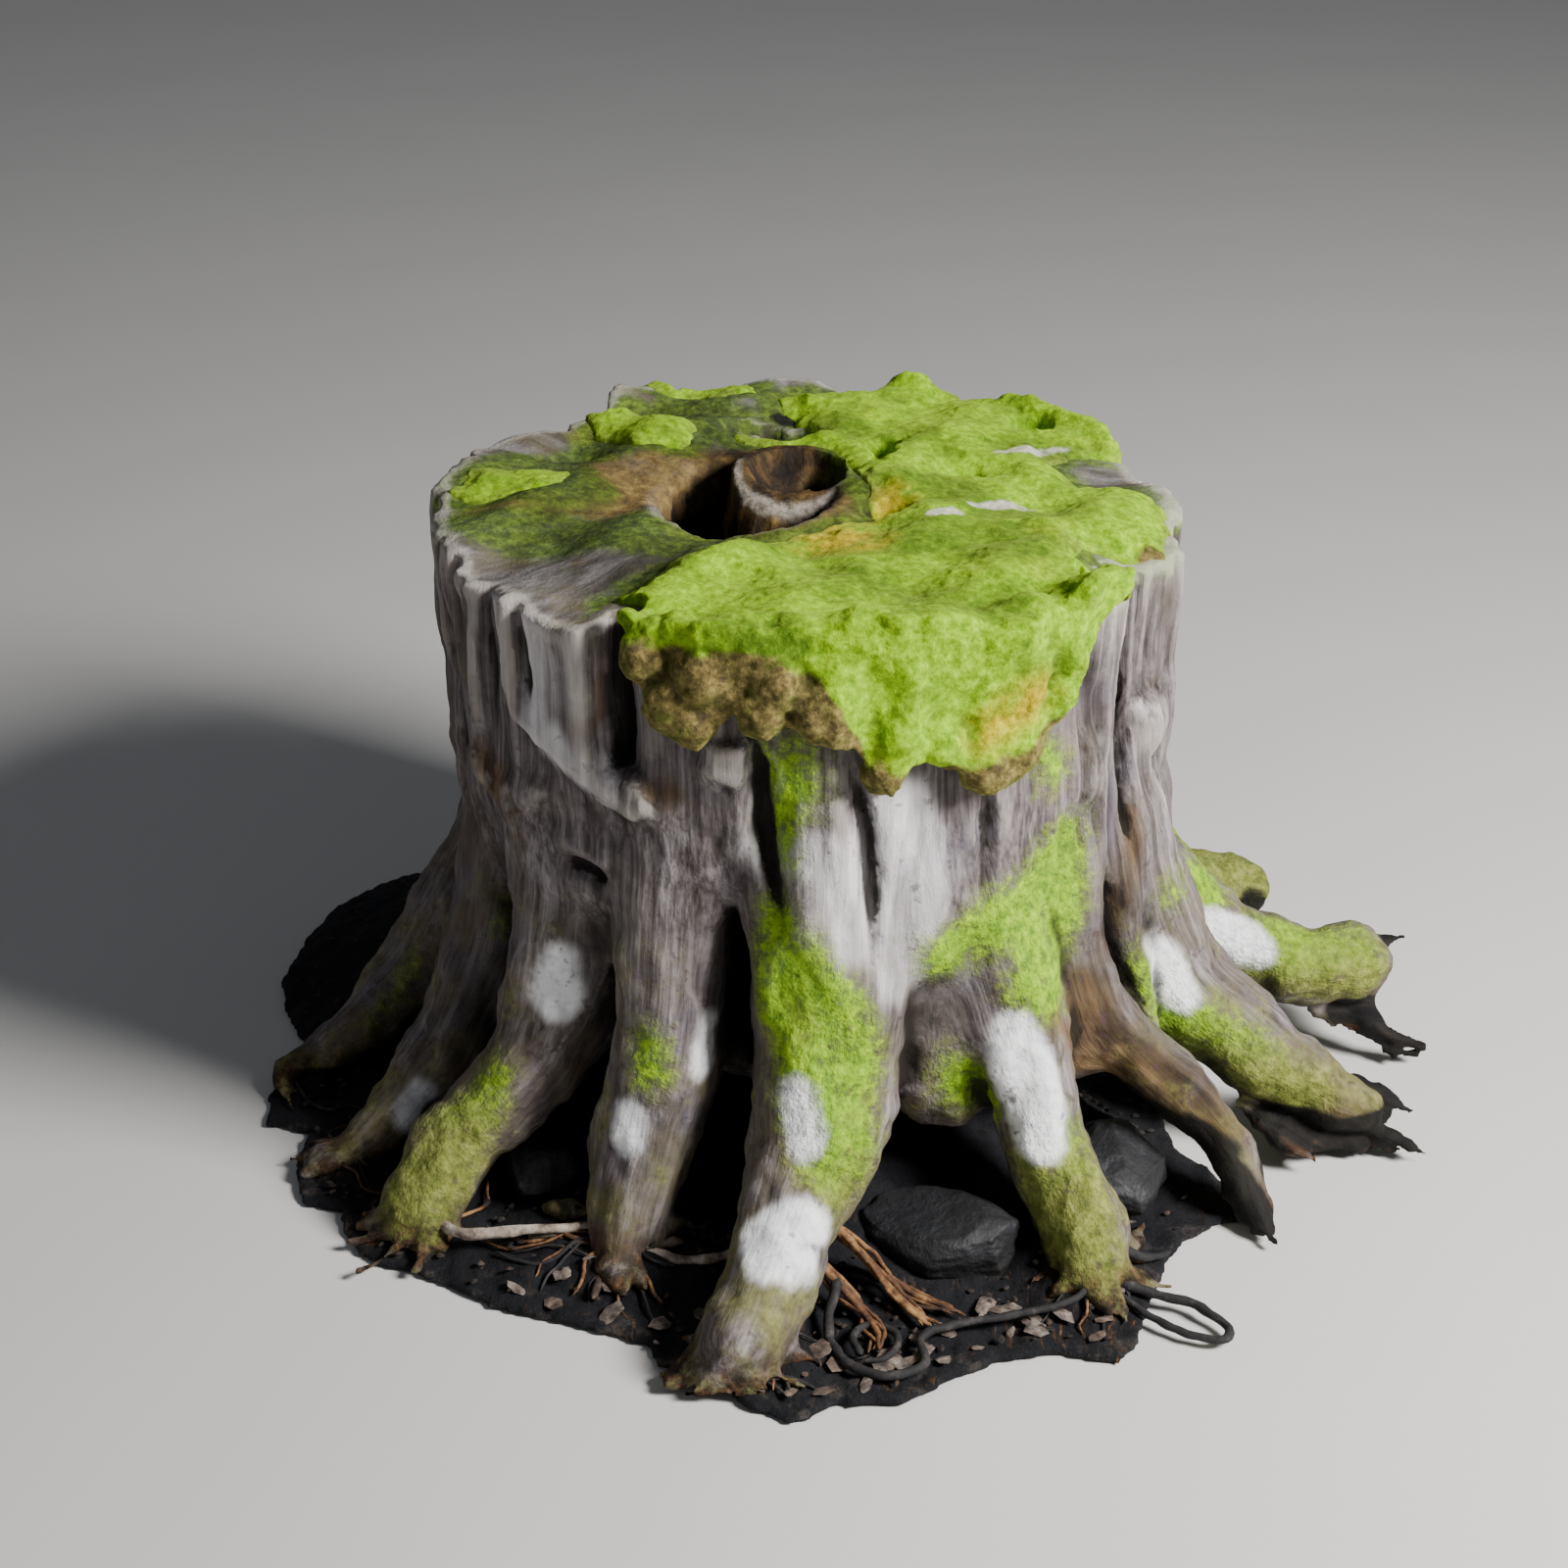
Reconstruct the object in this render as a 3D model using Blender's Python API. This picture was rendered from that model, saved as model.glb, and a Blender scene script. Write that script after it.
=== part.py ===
"""A weathered tree stump: a fluted trunk with a rotted, mossy cut face, and roots spread over a crust of soil.

Metres, +Z up. The origin is on the trunk's axis, at the level of the surface that the stump stands on. The
side with the hanging moss faces -Y.
"""

import math

import bmesh
import bpy
import numpy as np
from mathutils import Vector, noise

# Driving dimensions
CUT_HEIGHT = 0.440
CUT_RADIUS = 0.250
CELL = 0.0075
GRID_LOW = (-0.440, -0.435, -0.030)
GRID_HIGH = (0.480, 0.435, 0.500)
MOSS_CELL = 0.005
MOSS_LOW = (-0.285, -0.295, 0.300)
MOSS_HIGH = (0.285, 0.290, 0.500)
STUMP_TRIANGLES = 7400
MOSS_TRIANGLES = 1300
PATCH_TRIANGLES = 260
CLEARANCES = (0.0006, 0.00004)
FLOOR_GAP = 0.0015

# Trunk under the cut, without its roots: (height, radius)
TRUNK_PROFILE = (
    (0.000, 0.120),
    (0.060, 0.150),
    (0.120, 0.182),
    (0.180, 0.208),
    (0.240, 0.224),
    (0.300, 0.233),
    (0.360, 0.242),
    (0.440, 0.249),
    (0.500, 0.249),
)
# Swells and hollows of the cut's outline: (azimuth in degrees, change of radius)
TRUNK_OUTLINE = (
    (-180, 0.000),
    (-155, 0.003),
    (-135, 0.004),
    (-118, -0.002),
    (-100, 0.002),
    (-80, -0.003),
    (-62, 0.003),
    (-45, 0.004),
    (-33, -0.004),
    (-27, -0.010),
    (-20, 0.004),
    (0, 0.003),
    (22, 0.000),
    (35, 0.012),
    (50, 0.000),
    (66, 0.008),
    (80, -0.004),
    (95, 0.006),
    (108, 0.000),
    (122, 0.008),
    (131, -0.030),
    (142, -0.012),
    (160, 0.004),
    (180, 0.000),
)
# Finer ribs round the trunk: how many, their turn, their height
FLUTES = ((17, 0.4, 0.0022), (29, 1.9, 0.0016), (41, 0.7, 0.0012))
# How far up the trunk the lobes of its outline reach, from the cut down
OUTLINE_FADE = (0.10, 0.38)
TRUNK_UNDERSIDE = 0.055

# Roots: (x, y, z, radius) along each, from inside the trunk to the tip
ROOTS = {
    "left_back": (
        (-0.170, 0.100, 0.30, 0.035),
        (-0.205, 0.085, 0.20, 0.036),
        (-0.245, 0.050, 0.12, 0.034),
        (-0.290, 0.010, 0.06, 0.027),
        (-0.335, -0.020, 0.030, 0.020),
        (-0.372, -0.040, 0.018, 0.012),
    ),
    "left": (
        (-0.186, -0.020, 0.36, 0.034),
        (-0.198, -0.025, 0.26, 0.036),
        (-0.208, -0.032, 0.18, 0.037),
        (-0.226, -0.052, 0.11, 0.035),
        (-0.252, -0.088, 0.060, 0.030),
        (-0.286, -0.125, 0.030, 0.023),
        (-0.312, -0.148, 0.014, 0.014),
    ),
    "left_front": (
        (-0.135, -0.125, 0.34, 0.040),
        (-0.148, -0.142, 0.24, 0.043),
        (-0.155, -0.152, 0.16, 0.045),
        (-0.176, -0.166, 0.108, 0.036),
        (-0.212, -0.188, 0.074, 0.029),
        (-0.243, -0.212, 0.044, 0.027),
        (-0.255, -0.235, 0.018, 0.025),
    ),
    "front_left": (
        (-0.075, -0.170, 0.34, 0.042),
        (-0.080, -0.190, 0.24, 0.045),
        (-0.086, -0.203, 0.16, 0.045),
        (-0.100, -0.222, 0.095, 0.038),
        (-0.114, -0.240, 0.045, 0.031),
        (-0.122, -0.255, 0.012, 0.026),
    ),
    "front": (
        (0.010, -0.185, 0.36, 0.055),
        (0.012, -0.205, 0.25, 0.057),
        (0.012, -0.228, 0.165, 0.054),
        (0.006, -0.262, 0.100, 0.041),
        (-0.010, -0.305, 0.062, 0.034),
        (-0.030, -0.352, 0.034, 0.032),
        (-0.038, -0.374, 0.024, 0.030),
    ),
    "front_right": (
        (0.090, -0.160, 0.34, 0.045),
        (0.105, -0.180, 0.24, 0.048),
        (0.128, -0.198, 0.165, 0.043),
        (0.148, -0.224, 0.110, 0.031),
        (0.167, -0.251, 0.065, 0.028),
        (0.186, -0.280, 0.026, 0.029),
    ),
    "right_thin": (
        (0.155, -0.135, 0.30, 0.038),
        (0.172, -0.150, 0.20, 0.036),
        (0.195, -0.158, 0.135, 0.028),
        (0.229, -0.168, 0.100, 0.021),
        (0.262, -0.178, 0.072, 0.019),
        (0.288, -0.194, 0.045, 0.018),
        (0.300, -0.213, 0.020, 0.013),
    ),
    "right_low": (
        (0.200, -0.085, 0.30, 0.038),
        (0.218, -0.085, 0.20, 0.041),
        (0.245, -0.088, 0.135, 0.039),
        (0.290, -0.098, 0.090, 0.034),
        (0.335, -0.110, 0.060, 0.029),
        (0.385, -0.126, 0.036, 0.020),
    ),
    "right": (
        (0.200, -0.010, 0.32, 0.036),
        (0.212, -0.006, 0.24, 0.038),
        (0.230, -0.003, 0.18, 0.037),
        (0.262, 0.000, 0.135, 0.036),
        (0.302, 0.002, 0.100, 0.032),
        (0.352, 0.006, 0.080, 0.030),
        (0.402, 0.016, 0.070, 0.027),
    ),
    "right_back": (
        (0.182, 0.095, 0.30, 0.036),
        (0.205, 0.110, 0.20, 0.037),
        (0.242, 0.138, 0.108, 0.032),
        (0.294, 0.168, 0.058, 0.028),
        (0.342, 0.188, 0.040, 0.023),
    ),
    "back_right": (
        (0.100, 0.180, 0.30, 0.040),
        (0.112, 0.202, 0.20, 0.041),
        (0.132, 0.236, 0.12, 0.037),
        (0.158, 0.280, 0.065, 0.031),
        (0.180, 0.322, 0.032, 0.025),
        (0.196, 0.352, 0.014, 0.014),
    ),
    "back": (
        (-0.020, 0.200, 0.30, 0.042),
        (-0.020, 0.224, 0.20, 0.044),
        (-0.025, 0.260, 0.12, 0.039),
        (-0.038, 0.308, 0.065, 0.032),
        (-0.056, 0.350, 0.030, 0.025),
        (-0.066, 0.378, 0.014, 0.014),
    ),
    "back_left": (
        (-0.130, 0.155, 0.30, 0.040),
        (-0.146, 0.172, 0.20, 0.041),
        (-0.168, 0.200, 0.12, 0.036),
        (-0.202, 0.234, 0.065, 0.030),
        (-0.238, 0.262, 0.035, 0.024),
        (-0.268, 0.282, 0.018, 0.014),
    ),
}
# Webs of wood between the roots, where two of them part low down
WEBS = (
    (
        (0.062, -0.176, 0.34, 0.050),
        (0.070, -0.188, 0.25, 0.050),
        (0.079, -0.194, 0.17, 0.043),
        (0.088, -0.200, 0.112, 0.033),
    ),
    (
        (0.135, -0.138, 0.30, 0.045),
        (0.148, -0.148, 0.22, 0.045),
        (0.163, -0.152, 0.15, 0.037),
        (0.177, -0.154, 0.112, 0.029),
    ),
    ((0.186, -0.110, 0.27, 0.036), (0.198, -0.122, 0.19, 0.034), (0.212, -0.130, 0.128, 0.026)),
    ((-0.110, -0.145, 0.34, 0.045), (-0.118, -0.160, 0.26, 0.040), (-0.120, -0.170, 0.20, 0.026)),
)
ROOT_STEPS = 4
ROOT_BLEND = 0.011
# Uneven swells of the roots: how far apart, how high, seed
ROOT_SWELLS = ((0.034, 0.0045, 11), (0.017, 0.0018, 12))
TRUNK_BLEND_LOW = 0.016
TRUNK_BLEND_HIGH = 0.045
BLEND_HEIGHTS = (0.12, 0.32)

# The rotted heart: a hollow, a cup of sound wood standing in it, and the bowl inside that cup: centre, radii
HEART_HOLLOW = ((-0.034, 0.010, 0.446), (0.066, 0.068, 0.068))
HEART_PIT = ((-0.070, 0.016, 0.400), (0.026, 0.036, 0.045))
CUP_FOOT = (-0.010, 0.018, 0.370)
CUP_MOUTH = (-0.008, 0.034, 0.455)
CUP_RADII = (0.046, 0.041)
CUP_RIM = (0.449, 0.36)
CUP_BOWLS = (
    ((-0.004, 0.046, 0.462), (0.038, 0.030, 0.036)),
    ((0.016, 0.024, 0.434), (0.022, 0.020, 0.030)),
)

# How much lower the face is at the back right
FACE_FALL = 0.009

# Pits and clefts of the cut face: (x, y, radius along x, radius along y, depth)
FACE_PITS = (
    (-0.034, 0.150, 0.024, 0.013, 0.018),
    (-0.008, 0.136, 0.020, 0.016, 0.018),
    (0.054, 0.098, 0.014, 0.018, 0.016),
    (0.106, 0.046, 0.018, 0.012, 0.009),
    (0.163, 0.146, 0.016, 0.016, 0.022),
    (0.056, -0.022, 0.018, 0.012, 0.008),
    (-0.160, 0.088, 0.030, 0.010, 0.007),
)

# Grooves down the trunk: radius of the tool, depth, then (azimuth in degrees, height) along each
GROOVES = (
    (0.0075, 0.010, ((-29, 0.46), (-29, 0.39), (-31, 0.34), (-32, 0.25))),
    (0.0060, 0.006, ((-21, 0.32), (-21, 0.25), (-15, 0.19))),
    (0.0060, 0.006, ((-97, 0.38), (-96, 0.33), (-95, 0.29), (-93, 0.25))),
    (0.0055, 0.005, ((-83, 0.36), (-82, 0.30), (-80, 0.26), (-78, 0.21))),
    (0.0050, 0.004, ((-63, 0.34), (-63, 0.29), (-64, 0.25))),
    (0.0075, 0.014, ((-119, 0.46), (-119, 0.40), (-118, 0.34))),
    (0.0060, 0.006, ((-134, 0.44), (-133, 0.40), (-133, 0.38))),
    (0.0070, 0.008, ((-39, 0.24), (-37, 0.19), (-33, 0.13))),
    (0.0060, 0.006, ((160, 0.46), (162, 0.36), (160, 0.24))),
    (0.0070, 0.008, ((112, 0.46), (114, 0.36), (113, 0.25))),
    (0.0060, 0.006, ((76, 0.46), (77, 0.34), (74, 0.22))),
    (0.0060, 0.006, ((48, 0.46), (47, 0.36), (50, 0.24))),
)

# Slabs of wood that stand proud: how far, then the corners (azimuth in degrees, height) of each
SLABS = (
    (
        0.011,
        (
            (-121, 0.50),
            (-121, 0.352),
            (-114, 0.338),
            (-112, 0.326),
            (-116, 0.315),
            (-122, 0.326),
            (-128, 0.328),
            (-134, 0.340),
            (-137.5, 0.362),
            (-137, 0.50),
        ),
    ),
    (0.006, ((-104, 0.372), (-98, 0.374), (-97, 0.356), (-100, 0.346), (-104, 0.352))),
    (0.005, ((-152, 0.50), (-152, 0.33), (-148, 0.32), (-146, 0.34), (-146, 0.50))),
)
SLAB_EDGE = 0.006

# Old scars that stand out of the trunk: radius, how far out they lie, then (azimuth, height) along each
SCARS = (
    (0.011, 0.244, ((-127, 0.334), (-120, 0.324), (-115, 0.320), (-112, 0.330))),
    (0.012, 0.242, ((-151, 0.326), (-148, 0.308), (-142, 0.298), (-136, 0.301), (-132, 0.312))),
    (0.010, 0.238, ((-146, 0.296), (-140, 0.286), (-135, 0.292))),
    (0.010, 0.235, ((-130, 0.276), (-122, 0.272))),
)

# Moss patches: corner points (x, y) of each, and how thick it is
MOSS_PATCHES = {
    "moss_mat": (
        0.0105,
        (
            (-0.125, -0.300),
            (-0.119, -0.185),
            (-0.104, -0.155),
            (-0.077, -0.122),
            (-0.048, -0.098),
            (-0.013, -0.082),
            (0.024, -0.058),
            (0.048, -0.040),
            (0.044, 0.024),
            (0.026, 0.074),
            (0.000, 0.108),
            (-0.040, 0.112),
            (-0.048, 0.130),
            (-0.010, 0.118),
            (0.012, 0.140),
            (-0.010, 0.172),
            (-0.018, 0.200),
            (0.012, 0.222),
            (0.046, 0.226),
            (0.062, 0.246),
            (0.100, 0.250),
            (0.118, 0.222),
            (0.160, 0.206),
            (0.206, 0.172),
            (0.228, 0.135),
            (0.222, 0.104),
            (0.186, 0.100),
            (0.168, 0.072),
            (0.190, 0.030),
            (0.222, 0.018),
            (0.242, -0.020),
            (0.232, -0.084),
            (0.206, -0.096),
            (0.176, -0.090),
            (0.170, -0.108),
            (0.186, -0.130),
            (0.200, -0.150),
            (0.240, -0.200),
            (0.160, -0.300),
        ),
    ),
    "moss_left": (
        0.008,
        (
            (-0.158, 0.165),
            (-0.128, 0.178),
            (-0.098, 0.150),
            (-0.076, 0.128),
            (-0.086, 0.092),
            (-0.112, 0.096),
            (-0.140, 0.118),
        ),
    ),
    "moss_left_rim": (
        0.007,
        (
            (-0.236, 0.012),
            (-0.226, 0.046),
            (-0.196, 0.052),
            (-0.160, 0.044),
            (-0.164, 0.016),
            (-0.196, 0.004),
            (-0.222, -0.006),
        ),
    ),
    "moss_back": (
        0.007,
        (
            (-0.132, 0.230),
            (-0.088, 0.238),
            (-0.040, 0.232),
            (-0.038, 0.208),
            (-0.066, 0.200),
            (-0.104, 0.214),
        ),
    ),
}
MOSS_EDGE = 0.009
MOSS_ROOT = -0.010
# Lower hem of the moss that hangs over the front: (azimuth in degrees, height)
MOSS_HEM = (
    (-124, 0.470),
    (-117, 0.452),
    (-114, 0.430),
    (-109, 0.388),
    (-104, 0.376),
    (-99, 0.404),
    (-95, 0.384),
    (-91, 0.400),
    (-87, 0.384),
    (-84, 0.380),
    (-79, 0.346),
    (-76, 0.366),
    (-71, 0.364),
    (-66, 0.338),
    (-61, 0.342),
    (-57, 0.354),
    (-53, 0.382),
    (-49, 0.420),
    (-44, 0.440),
    (-38, 0.452),
)
HEM_AWAY = 0.424
DRAPE_THICKNESS = 0.020

# Soil crust: (azimuth in degrees, radius) of its ragged edge
SOIL_EDGE = (
    (-180, 0.362),
    (-177, 0.384),
    (-172, 0.386),
    (-166, 0.392),
    (-163, 0.363),
    (-158, 0.380),
    (-150, 0.392),
    (-147, 0.371),
    (-144, 0.382),
    (-138, 0.386),
    (-132, 0.370),
    (-121, 0.366),
    (-113, 0.358),
    (-106, 0.362),
    (-104, 0.382),
    (-100, 0.380),
    (-95, 0.412),
    (-91, 0.424),
    (-87, 0.406),
    (-82, 0.412),
    (-77, 0.394),
    (-72, 0.384),
    (-66, 0.390),
    (-62, 0.416),
    (-58, 0.400),
    (-54, 0.378),
    (-48, 0.354),
    (-43, 0.346),
    (-38, 0.352),
    (-34, 0.372),
    (-30, 0.330),
    (-26, 0.290),
    (-20, 0.272),
    (-10, 0.266),
    (0, 0.276),
    (8, 0.284),
    (16, 0.262),
    (26, 0.284),
    (34, 0.322),
    (44, 0.330),
    (52, 0.352),
    (60, 0.392),
    (66, 0.376),
    (75, 0.360),
    (86, 0.378),
    (98, 0.402),
    (106, 0.392),
    (116, 0.372),
    (126, 0.396),
    (134, 0.412),
    (142, 0.424),
    (150, 0.426),
    (158, 0.420),
    (166, 0.410),
    (173, 0.388),
    (180, 0.362),
)
SOIL_SECTORS = 96
SOIL_RINGS = 8
SOIL_RIM_THICKNESS = 0.008
SOIL_HEART = 0.062
# Banks of soil heaped higher than the rest: (x, y, radius, height)
SOIL_BANKS = (
    (-0.330, 0.180, 0.130, 0.030),
    (-0.185, -0.262, 0.060, 0.014),
    (-0.075, -0.285, 0.050, 0.012),
    (0.190, -0.150, 0.080, 0.018),
    (0.060, 0.260, 0.120, 0.016),
)

# Stones caught under the roots: centre, radii, turn about Z in degrees
STONES = {
    "stone_right": ((0.205, -0.190, 0.026), (0.047, 0.046, 0.028), 20),
    "stone_front": ((0.094, -0.262, 0.024), (0.058, 0.034, 0.026), -24),
    "stone_left": ((-0.176, -0.196, 0.034), (0.026, 0.024, 0.022), 10),
}
STONE_DETAIL = 3
STONE_ROUGHNESS = 0.10

# Thin side roots: radius, then points along each
ROOTLETS = (
    (
        0.0034,
        (
            (-0.245, -0.240, 0.020),
            (-0.222, -0.262, 0.026),
            (-0.186, -0.264, 0.030),
            (-0.149, -0.256, 0.028),
            (-0.122, -0.246, 0.024),
        ),
    ),
    (
        0.0032,
        (
            (-0.118, -0.252, 0.020),
            (-0.096, -0.278, 0.022),
            (-0.066, -0.288, 0.024),
            (-0.038, -0.290, 0.036),
            (-0.012, -0.300, 0.050),
        ),
    ),
    (
        0.0036,
        ((0.016, -0.296, 0.060), (0.040, -0.306, 0.034), (0.062, -0.326, 0.018), (0.078, -0.342, 0.013)),
    ),
    (
        0.0032,
        ((0.006, -0.318, 0.050), (0.030, -0.328, 0.022), (0.044, -0.346, 0.014), (0.046, -0.366, 0.013)),
    ),
    (
        0.0030,
        (
            (0.020, -0.322, 0.036),
            (0.014, -0.350, 0.014),
            (0.026, -0.380, 0.012),
            (0.052, -0.392, 0.012),
            (0.074, -0.380, 0.012),
            (0.072, -0.358, 0.014),
            (0.090, -0.346, 0.015),
            (0.130, -0.336, 0.016),
            (0.168, -0.324, 0.018),
            (0.190, -0.300, 0.024),
        ),
    ),
    (
        0.0032,
        (
            (0.190, -0.296, 0.020),
            (0.222, -0.306, 0.012),
            (0.250, -0.316, 0.010),
            (0.268, -0.338, 0.008),
            (0.262, -0.350, 0.008),
            (0.240, -0.342, 0.008),
            (0.216, -0.324, 0.010),
            (0.196, -0.304, 0.016),
        ),
    ),
    (0.0032, ((0.200, -0.286, 0.034), (0.222, -0.276, 0.018), (0.240, -0.262, 0.013))),
    (0.0032, ((-0.112, -0.250, 0.022), (-0.130, -0.284, 0.014), (-0.136, -0.312, 0.012))),
)
ROOTLET_STEPS = 3
ROOTLET_SIDES = 1

# Torn ends of the roots: (x, y, z) round each flat shard, and its thickness
SHARDS = (
    (
        0.007,
        (
            (0.352, -0.078, 0.046),
            (0.392, -0.084, 0.036),
            (0.394, -0.100, 0.030),
            (0.416, -0.108, 0.022),
            (0.398, -0.116, 0.024),
            (0.424, -0.136, 0.010),
            (0.394, -0.134, 0.018),
            (0.366, -0.140, 0.020),
            (0.333, -0.152, 0.018),
            (0.318, -0.134, 0.026),
            (0.296, -0.120, 0.042),
            (0.330, -0.108, 0.052),
        ),
    ),
    (
        0.007,
        (
            (0.398, 0.034, 0.080),
            (0.436, 0.034, 0.078),
            (0.420, 0.010, 0.050),
            (0.423, -0.004, 0.032),
            (0.456, -0.012, 0.018),
            (0.430, -0.014, 0.024),
            (0.404, -0.006, 0.034),
            (0.372, 0.000, 0.046),
            (0.384, 0.016, 0.062),
        ),
    ),
    (
        0.006,
        (
            (0.338, 0.190, 0.056),
            (0.362, 0.172, 0.046),
            (0.352, 0.156, 0.026),
            (0.338, 0.164, 0.036),
            (0.326, 0.170, 0.048),
        ),
    ),
    (
        0.006,
        (
            (0.286, -0.186, 0.036),
            (0.312, -0.206, 0.022),
            (0.310, -0.238, 0.008),
            (0.292, -0.226, 0.012),
            (0.280, -0.206, 0.022),
        ),
    ),
)

COLOURS = {
    "wood": ((0.42, 0.40, 0.38, 1.0), 0.85),
    "moss": ((0.36, 0.52, 0.06, 1.0), 0.95),
    "soil": ((0.035, 0.030, 0.028, 1.0), 0.95),
    "stone": ((0.20, 0.20, 0.21, 1.0), 0.80),
}


NOISE_PERIOD = 37
CELL_CORNERS = tuple((i, j, k) for i in (0, 1) for j in (0, 1) for k in (0, 1))


def smooth_step(value, low, high):
    t = np.clip((value - low) / (high - low), 0.0, 1.0)
    return t * t * (3.0 - 2.0 * t)


def smooth_union(a, b, reach):
    """Joins two distance fields with a fillet about reach wide."""
    share = np.clip(0.5 + 0.5 * (b - a) / reach, 0.0, 1.0)
    return b * (1.0 - share) + a * share - reach * share * (1.0 - share)


def smooth_cut(a, tool, reach):
    """Takes the tool's field out of a, and rounds the new edge."""
    return -smooth_union(-a, tool, reach)


def spline(points, steps):
    """A smooth line through the points, each a row of numbers, with this many steps between two of them."""
    p = np.array(points, float)
    p = np.vstack([2 * p[0] - p[1], p, 2 * p[-1] - p[-2]])
    t = np.linspace(0.0, 1.0, steps, endpoint=False)[:, None]
    rows = []
    for a, b, c, d in zip(p, p[1:], p[2:], p[3:]):
        bend = (2 * a - 5 * b + 4 * c - d) * t**2 + (3 * b - a - 3 * c + d) * t**3
        rows.append(0.5 * (2 * b + (c - a) * t + bend))
    rows.append(p[-2][None])
    return np.vstack(rows)


class Grid:
    """A block of evenly spaced points, on which the shapes are held as distances, negative inside."""

    def __init__(self, low, high, cell):
        self.low, self.cell = np.array(low), cell
        counts = [int(round((b - a) / cell)) + 1 for a, b in zip(low, high)]
        axes = [a + cell * np.arange(n) for a, n in zip(low, counts)]
        self.x, self.y, self.z = np.meshgrid(*axes, indexing="ij", sparse=True)
        self.shape = tuple(counts)

    def near(self, points, margin):
        """The block of the grid that lies within margin of the points."""
        first = np.floor((np.min(points, axis=0) - margin - self.low) / self.cell).astype(int)
        last = np.ceil((np.max(points, axis=0) + margin - self.low) / self.cell).astype(int)
        return tuple(slice(max(a, 0), max(b, 0)) for a, b in zip(first, last))

    def tube(self, line, margin):
        """(block, distance to a tube) where line holds x, y, z and radius."""
        block = self.near(line[:, :3], line[:, 3].max() + margin)
        x, y, z = self.x[block[0]], self.y[:, block[1]], self.z[:, :, block[2]]
        found = np.full(np.broadcast(x, y, z).shape, 1.0)
        for a, b in zip(line, line[1:]):
            along = b[:3] - a[:3]
            t = ((x - a[0]) * along[0] + (y - a[1]) * along[1] + (z - a[2]) * along[2]) / (along @ along)
            t = np.clip(t, 0.0, 1.0)
            aside = [g - o - t * step for g, o, step in zip((x, y, z), a, along)]
            gap = np.sqrt(sum(part**2 for part in aside))
            found = np.minimum(found, gap - (a[3] + t * (b[3] - a[3])))
        return block, found

    def ellipsoid(self, centre, radii):
        """Distance to an ellipsoid, near enough for a cut."""
        parts = [(g - c) / r for g, c, r in zip((self.x, self.y, self.z), centre, radii)]
        return (np.sqrt(sum(part**2 for part in parts)) - 1.0) * min(radii)


def on_trunk(azimuth, height, radius):
    turn = math.radians(azimuth)
    return radius * math.cos(turn), radius * math.sin(turn), height


def value_noise(x, y, z, size, seed):
    """Smooth random swells between -1 and 1, about this far apart."""
    table = np.random.default_rng(seed).uniform(-1.0, 1.0, (NOISE_PERIOD,) * 3)
    cells, shares = [], []
    for place in (x, y, z):
        scaled = place / size + 100.0
        cell = np.floor(scaled).astype(int)
        share = scaled - cell
        cells.append(cell)
        shares.append(share * share * (3.0 - 2.0 * share))
    total = 0.0
    for i, j, k in CELL_CORNERS:
        spot = ((cells[0] + i) % NOISE_PERIOD, (cells[1] + j) % NOISE_PERIOD, (cells[2] + k) % NOISE_PERIOD)
        weight = 1.0
        for share, side in zip(shares, (i, j, k)):
            weight = weight * (share if side else 1.0 - share)
        total = total + table[spot] * weight
    return total


def trunk_field(grid):
    """The trunk without its roots, before anything is cut from it."""
    reach = np.hypot(grid.x, grid.y)
    azimuth = np.degrees(np.arctan2(grid.y, grid.x))
    radius = np.interp(grid.z, *zip(*TRUNK_PROFILE))
    outline = np.interp(azimuth, *zip(*TRUNK_OUTLINE))
    fade = smooth_step(grid.z, *OUTLINE_FADE)
    flutes = sum(depth * np.sin(np.radians(azimuth) * count + turn) for count, turn, depth in FLUTES)
    trunk = reach - radius - (outline + flutes) * fade
    return smooth_cut(trunk, grid.z - TRUNK_UNDERSIDE, 0.05)


def roots_field(grid):
    field = np.full(grid.shape, 1.0)
    for points in [*ROOTS.values(), *WEBS]:
        block, root = grid.tube(spline(points, ROOT_STEPS), 0.05)
        field[block] = smooth_union(field[block], root, ROOT_BLEND)
    for size, height, seed in ROOT_SWELLS:
        field = field + height * value_noise(grid.x, grid.y, grid.z * 0.6, size, seed)
    return field


def face_height(grid):
    """Height of the sawn, weathered face over each point of the plan."""
    swell = 0.004 * np.sin(grid.x * 31.0 + 1.0) * np.cos(grid.y * 27.0)
    swell = swell + 0.003 * np.sin(grid.x * 63.0 - grid.y * 41.0)
    slab = 0.007 * smooth_step(grid.y, 0.165, 0.20) * smooth_step(-grid.x, -0.06, 0.05)
    height = CUT_HEIGHT + swell + slab - FACE_FALL * smooth_step(grid.x + grid.y, 0.04, 0.26)
    for x, y, radius_x, radius_y, depth in FACE_PITS:
        away = np.hypot((grid.x - x) / radius_x, (grid.y - y) / radius_y)
        height = height - depth * (1.0 - smooth_step(away, 0.1, 1.3))
    return height


def heart_field(grid, field):
    """Opens the rotted heart and stands the cup of sound wood in it."""
    field = smooth_cut(field, grid.ellipsoid(*HEART_HOLLOW), 0.012)
    field = smooth_cut(field, grid.ellipsoid(*HEART_PIT), 0.010)
    line = np.array([(*CUP_FOOT, CUP_RADII[0]), (*CUP_MOUTH, CUP_RADII[1])])
    block, cup = grid.tube(line, 0.04)
    rim = grid.z[:, :, block[2]] - CUP_RIM[0] - CUP_RIM[1] * (grid.y[:, block[1]] - CUP_MOUTH[1])
    cup = smooth_cut(cup, -rim, 0.006)
    field[block] = smooth_union(field[block], cup, 0.008)
    for bowl in CUP_BOWLS:
        field = smooth_cut(field, grid.ellipsoid(*bowl), 0.006)
    return field


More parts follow.
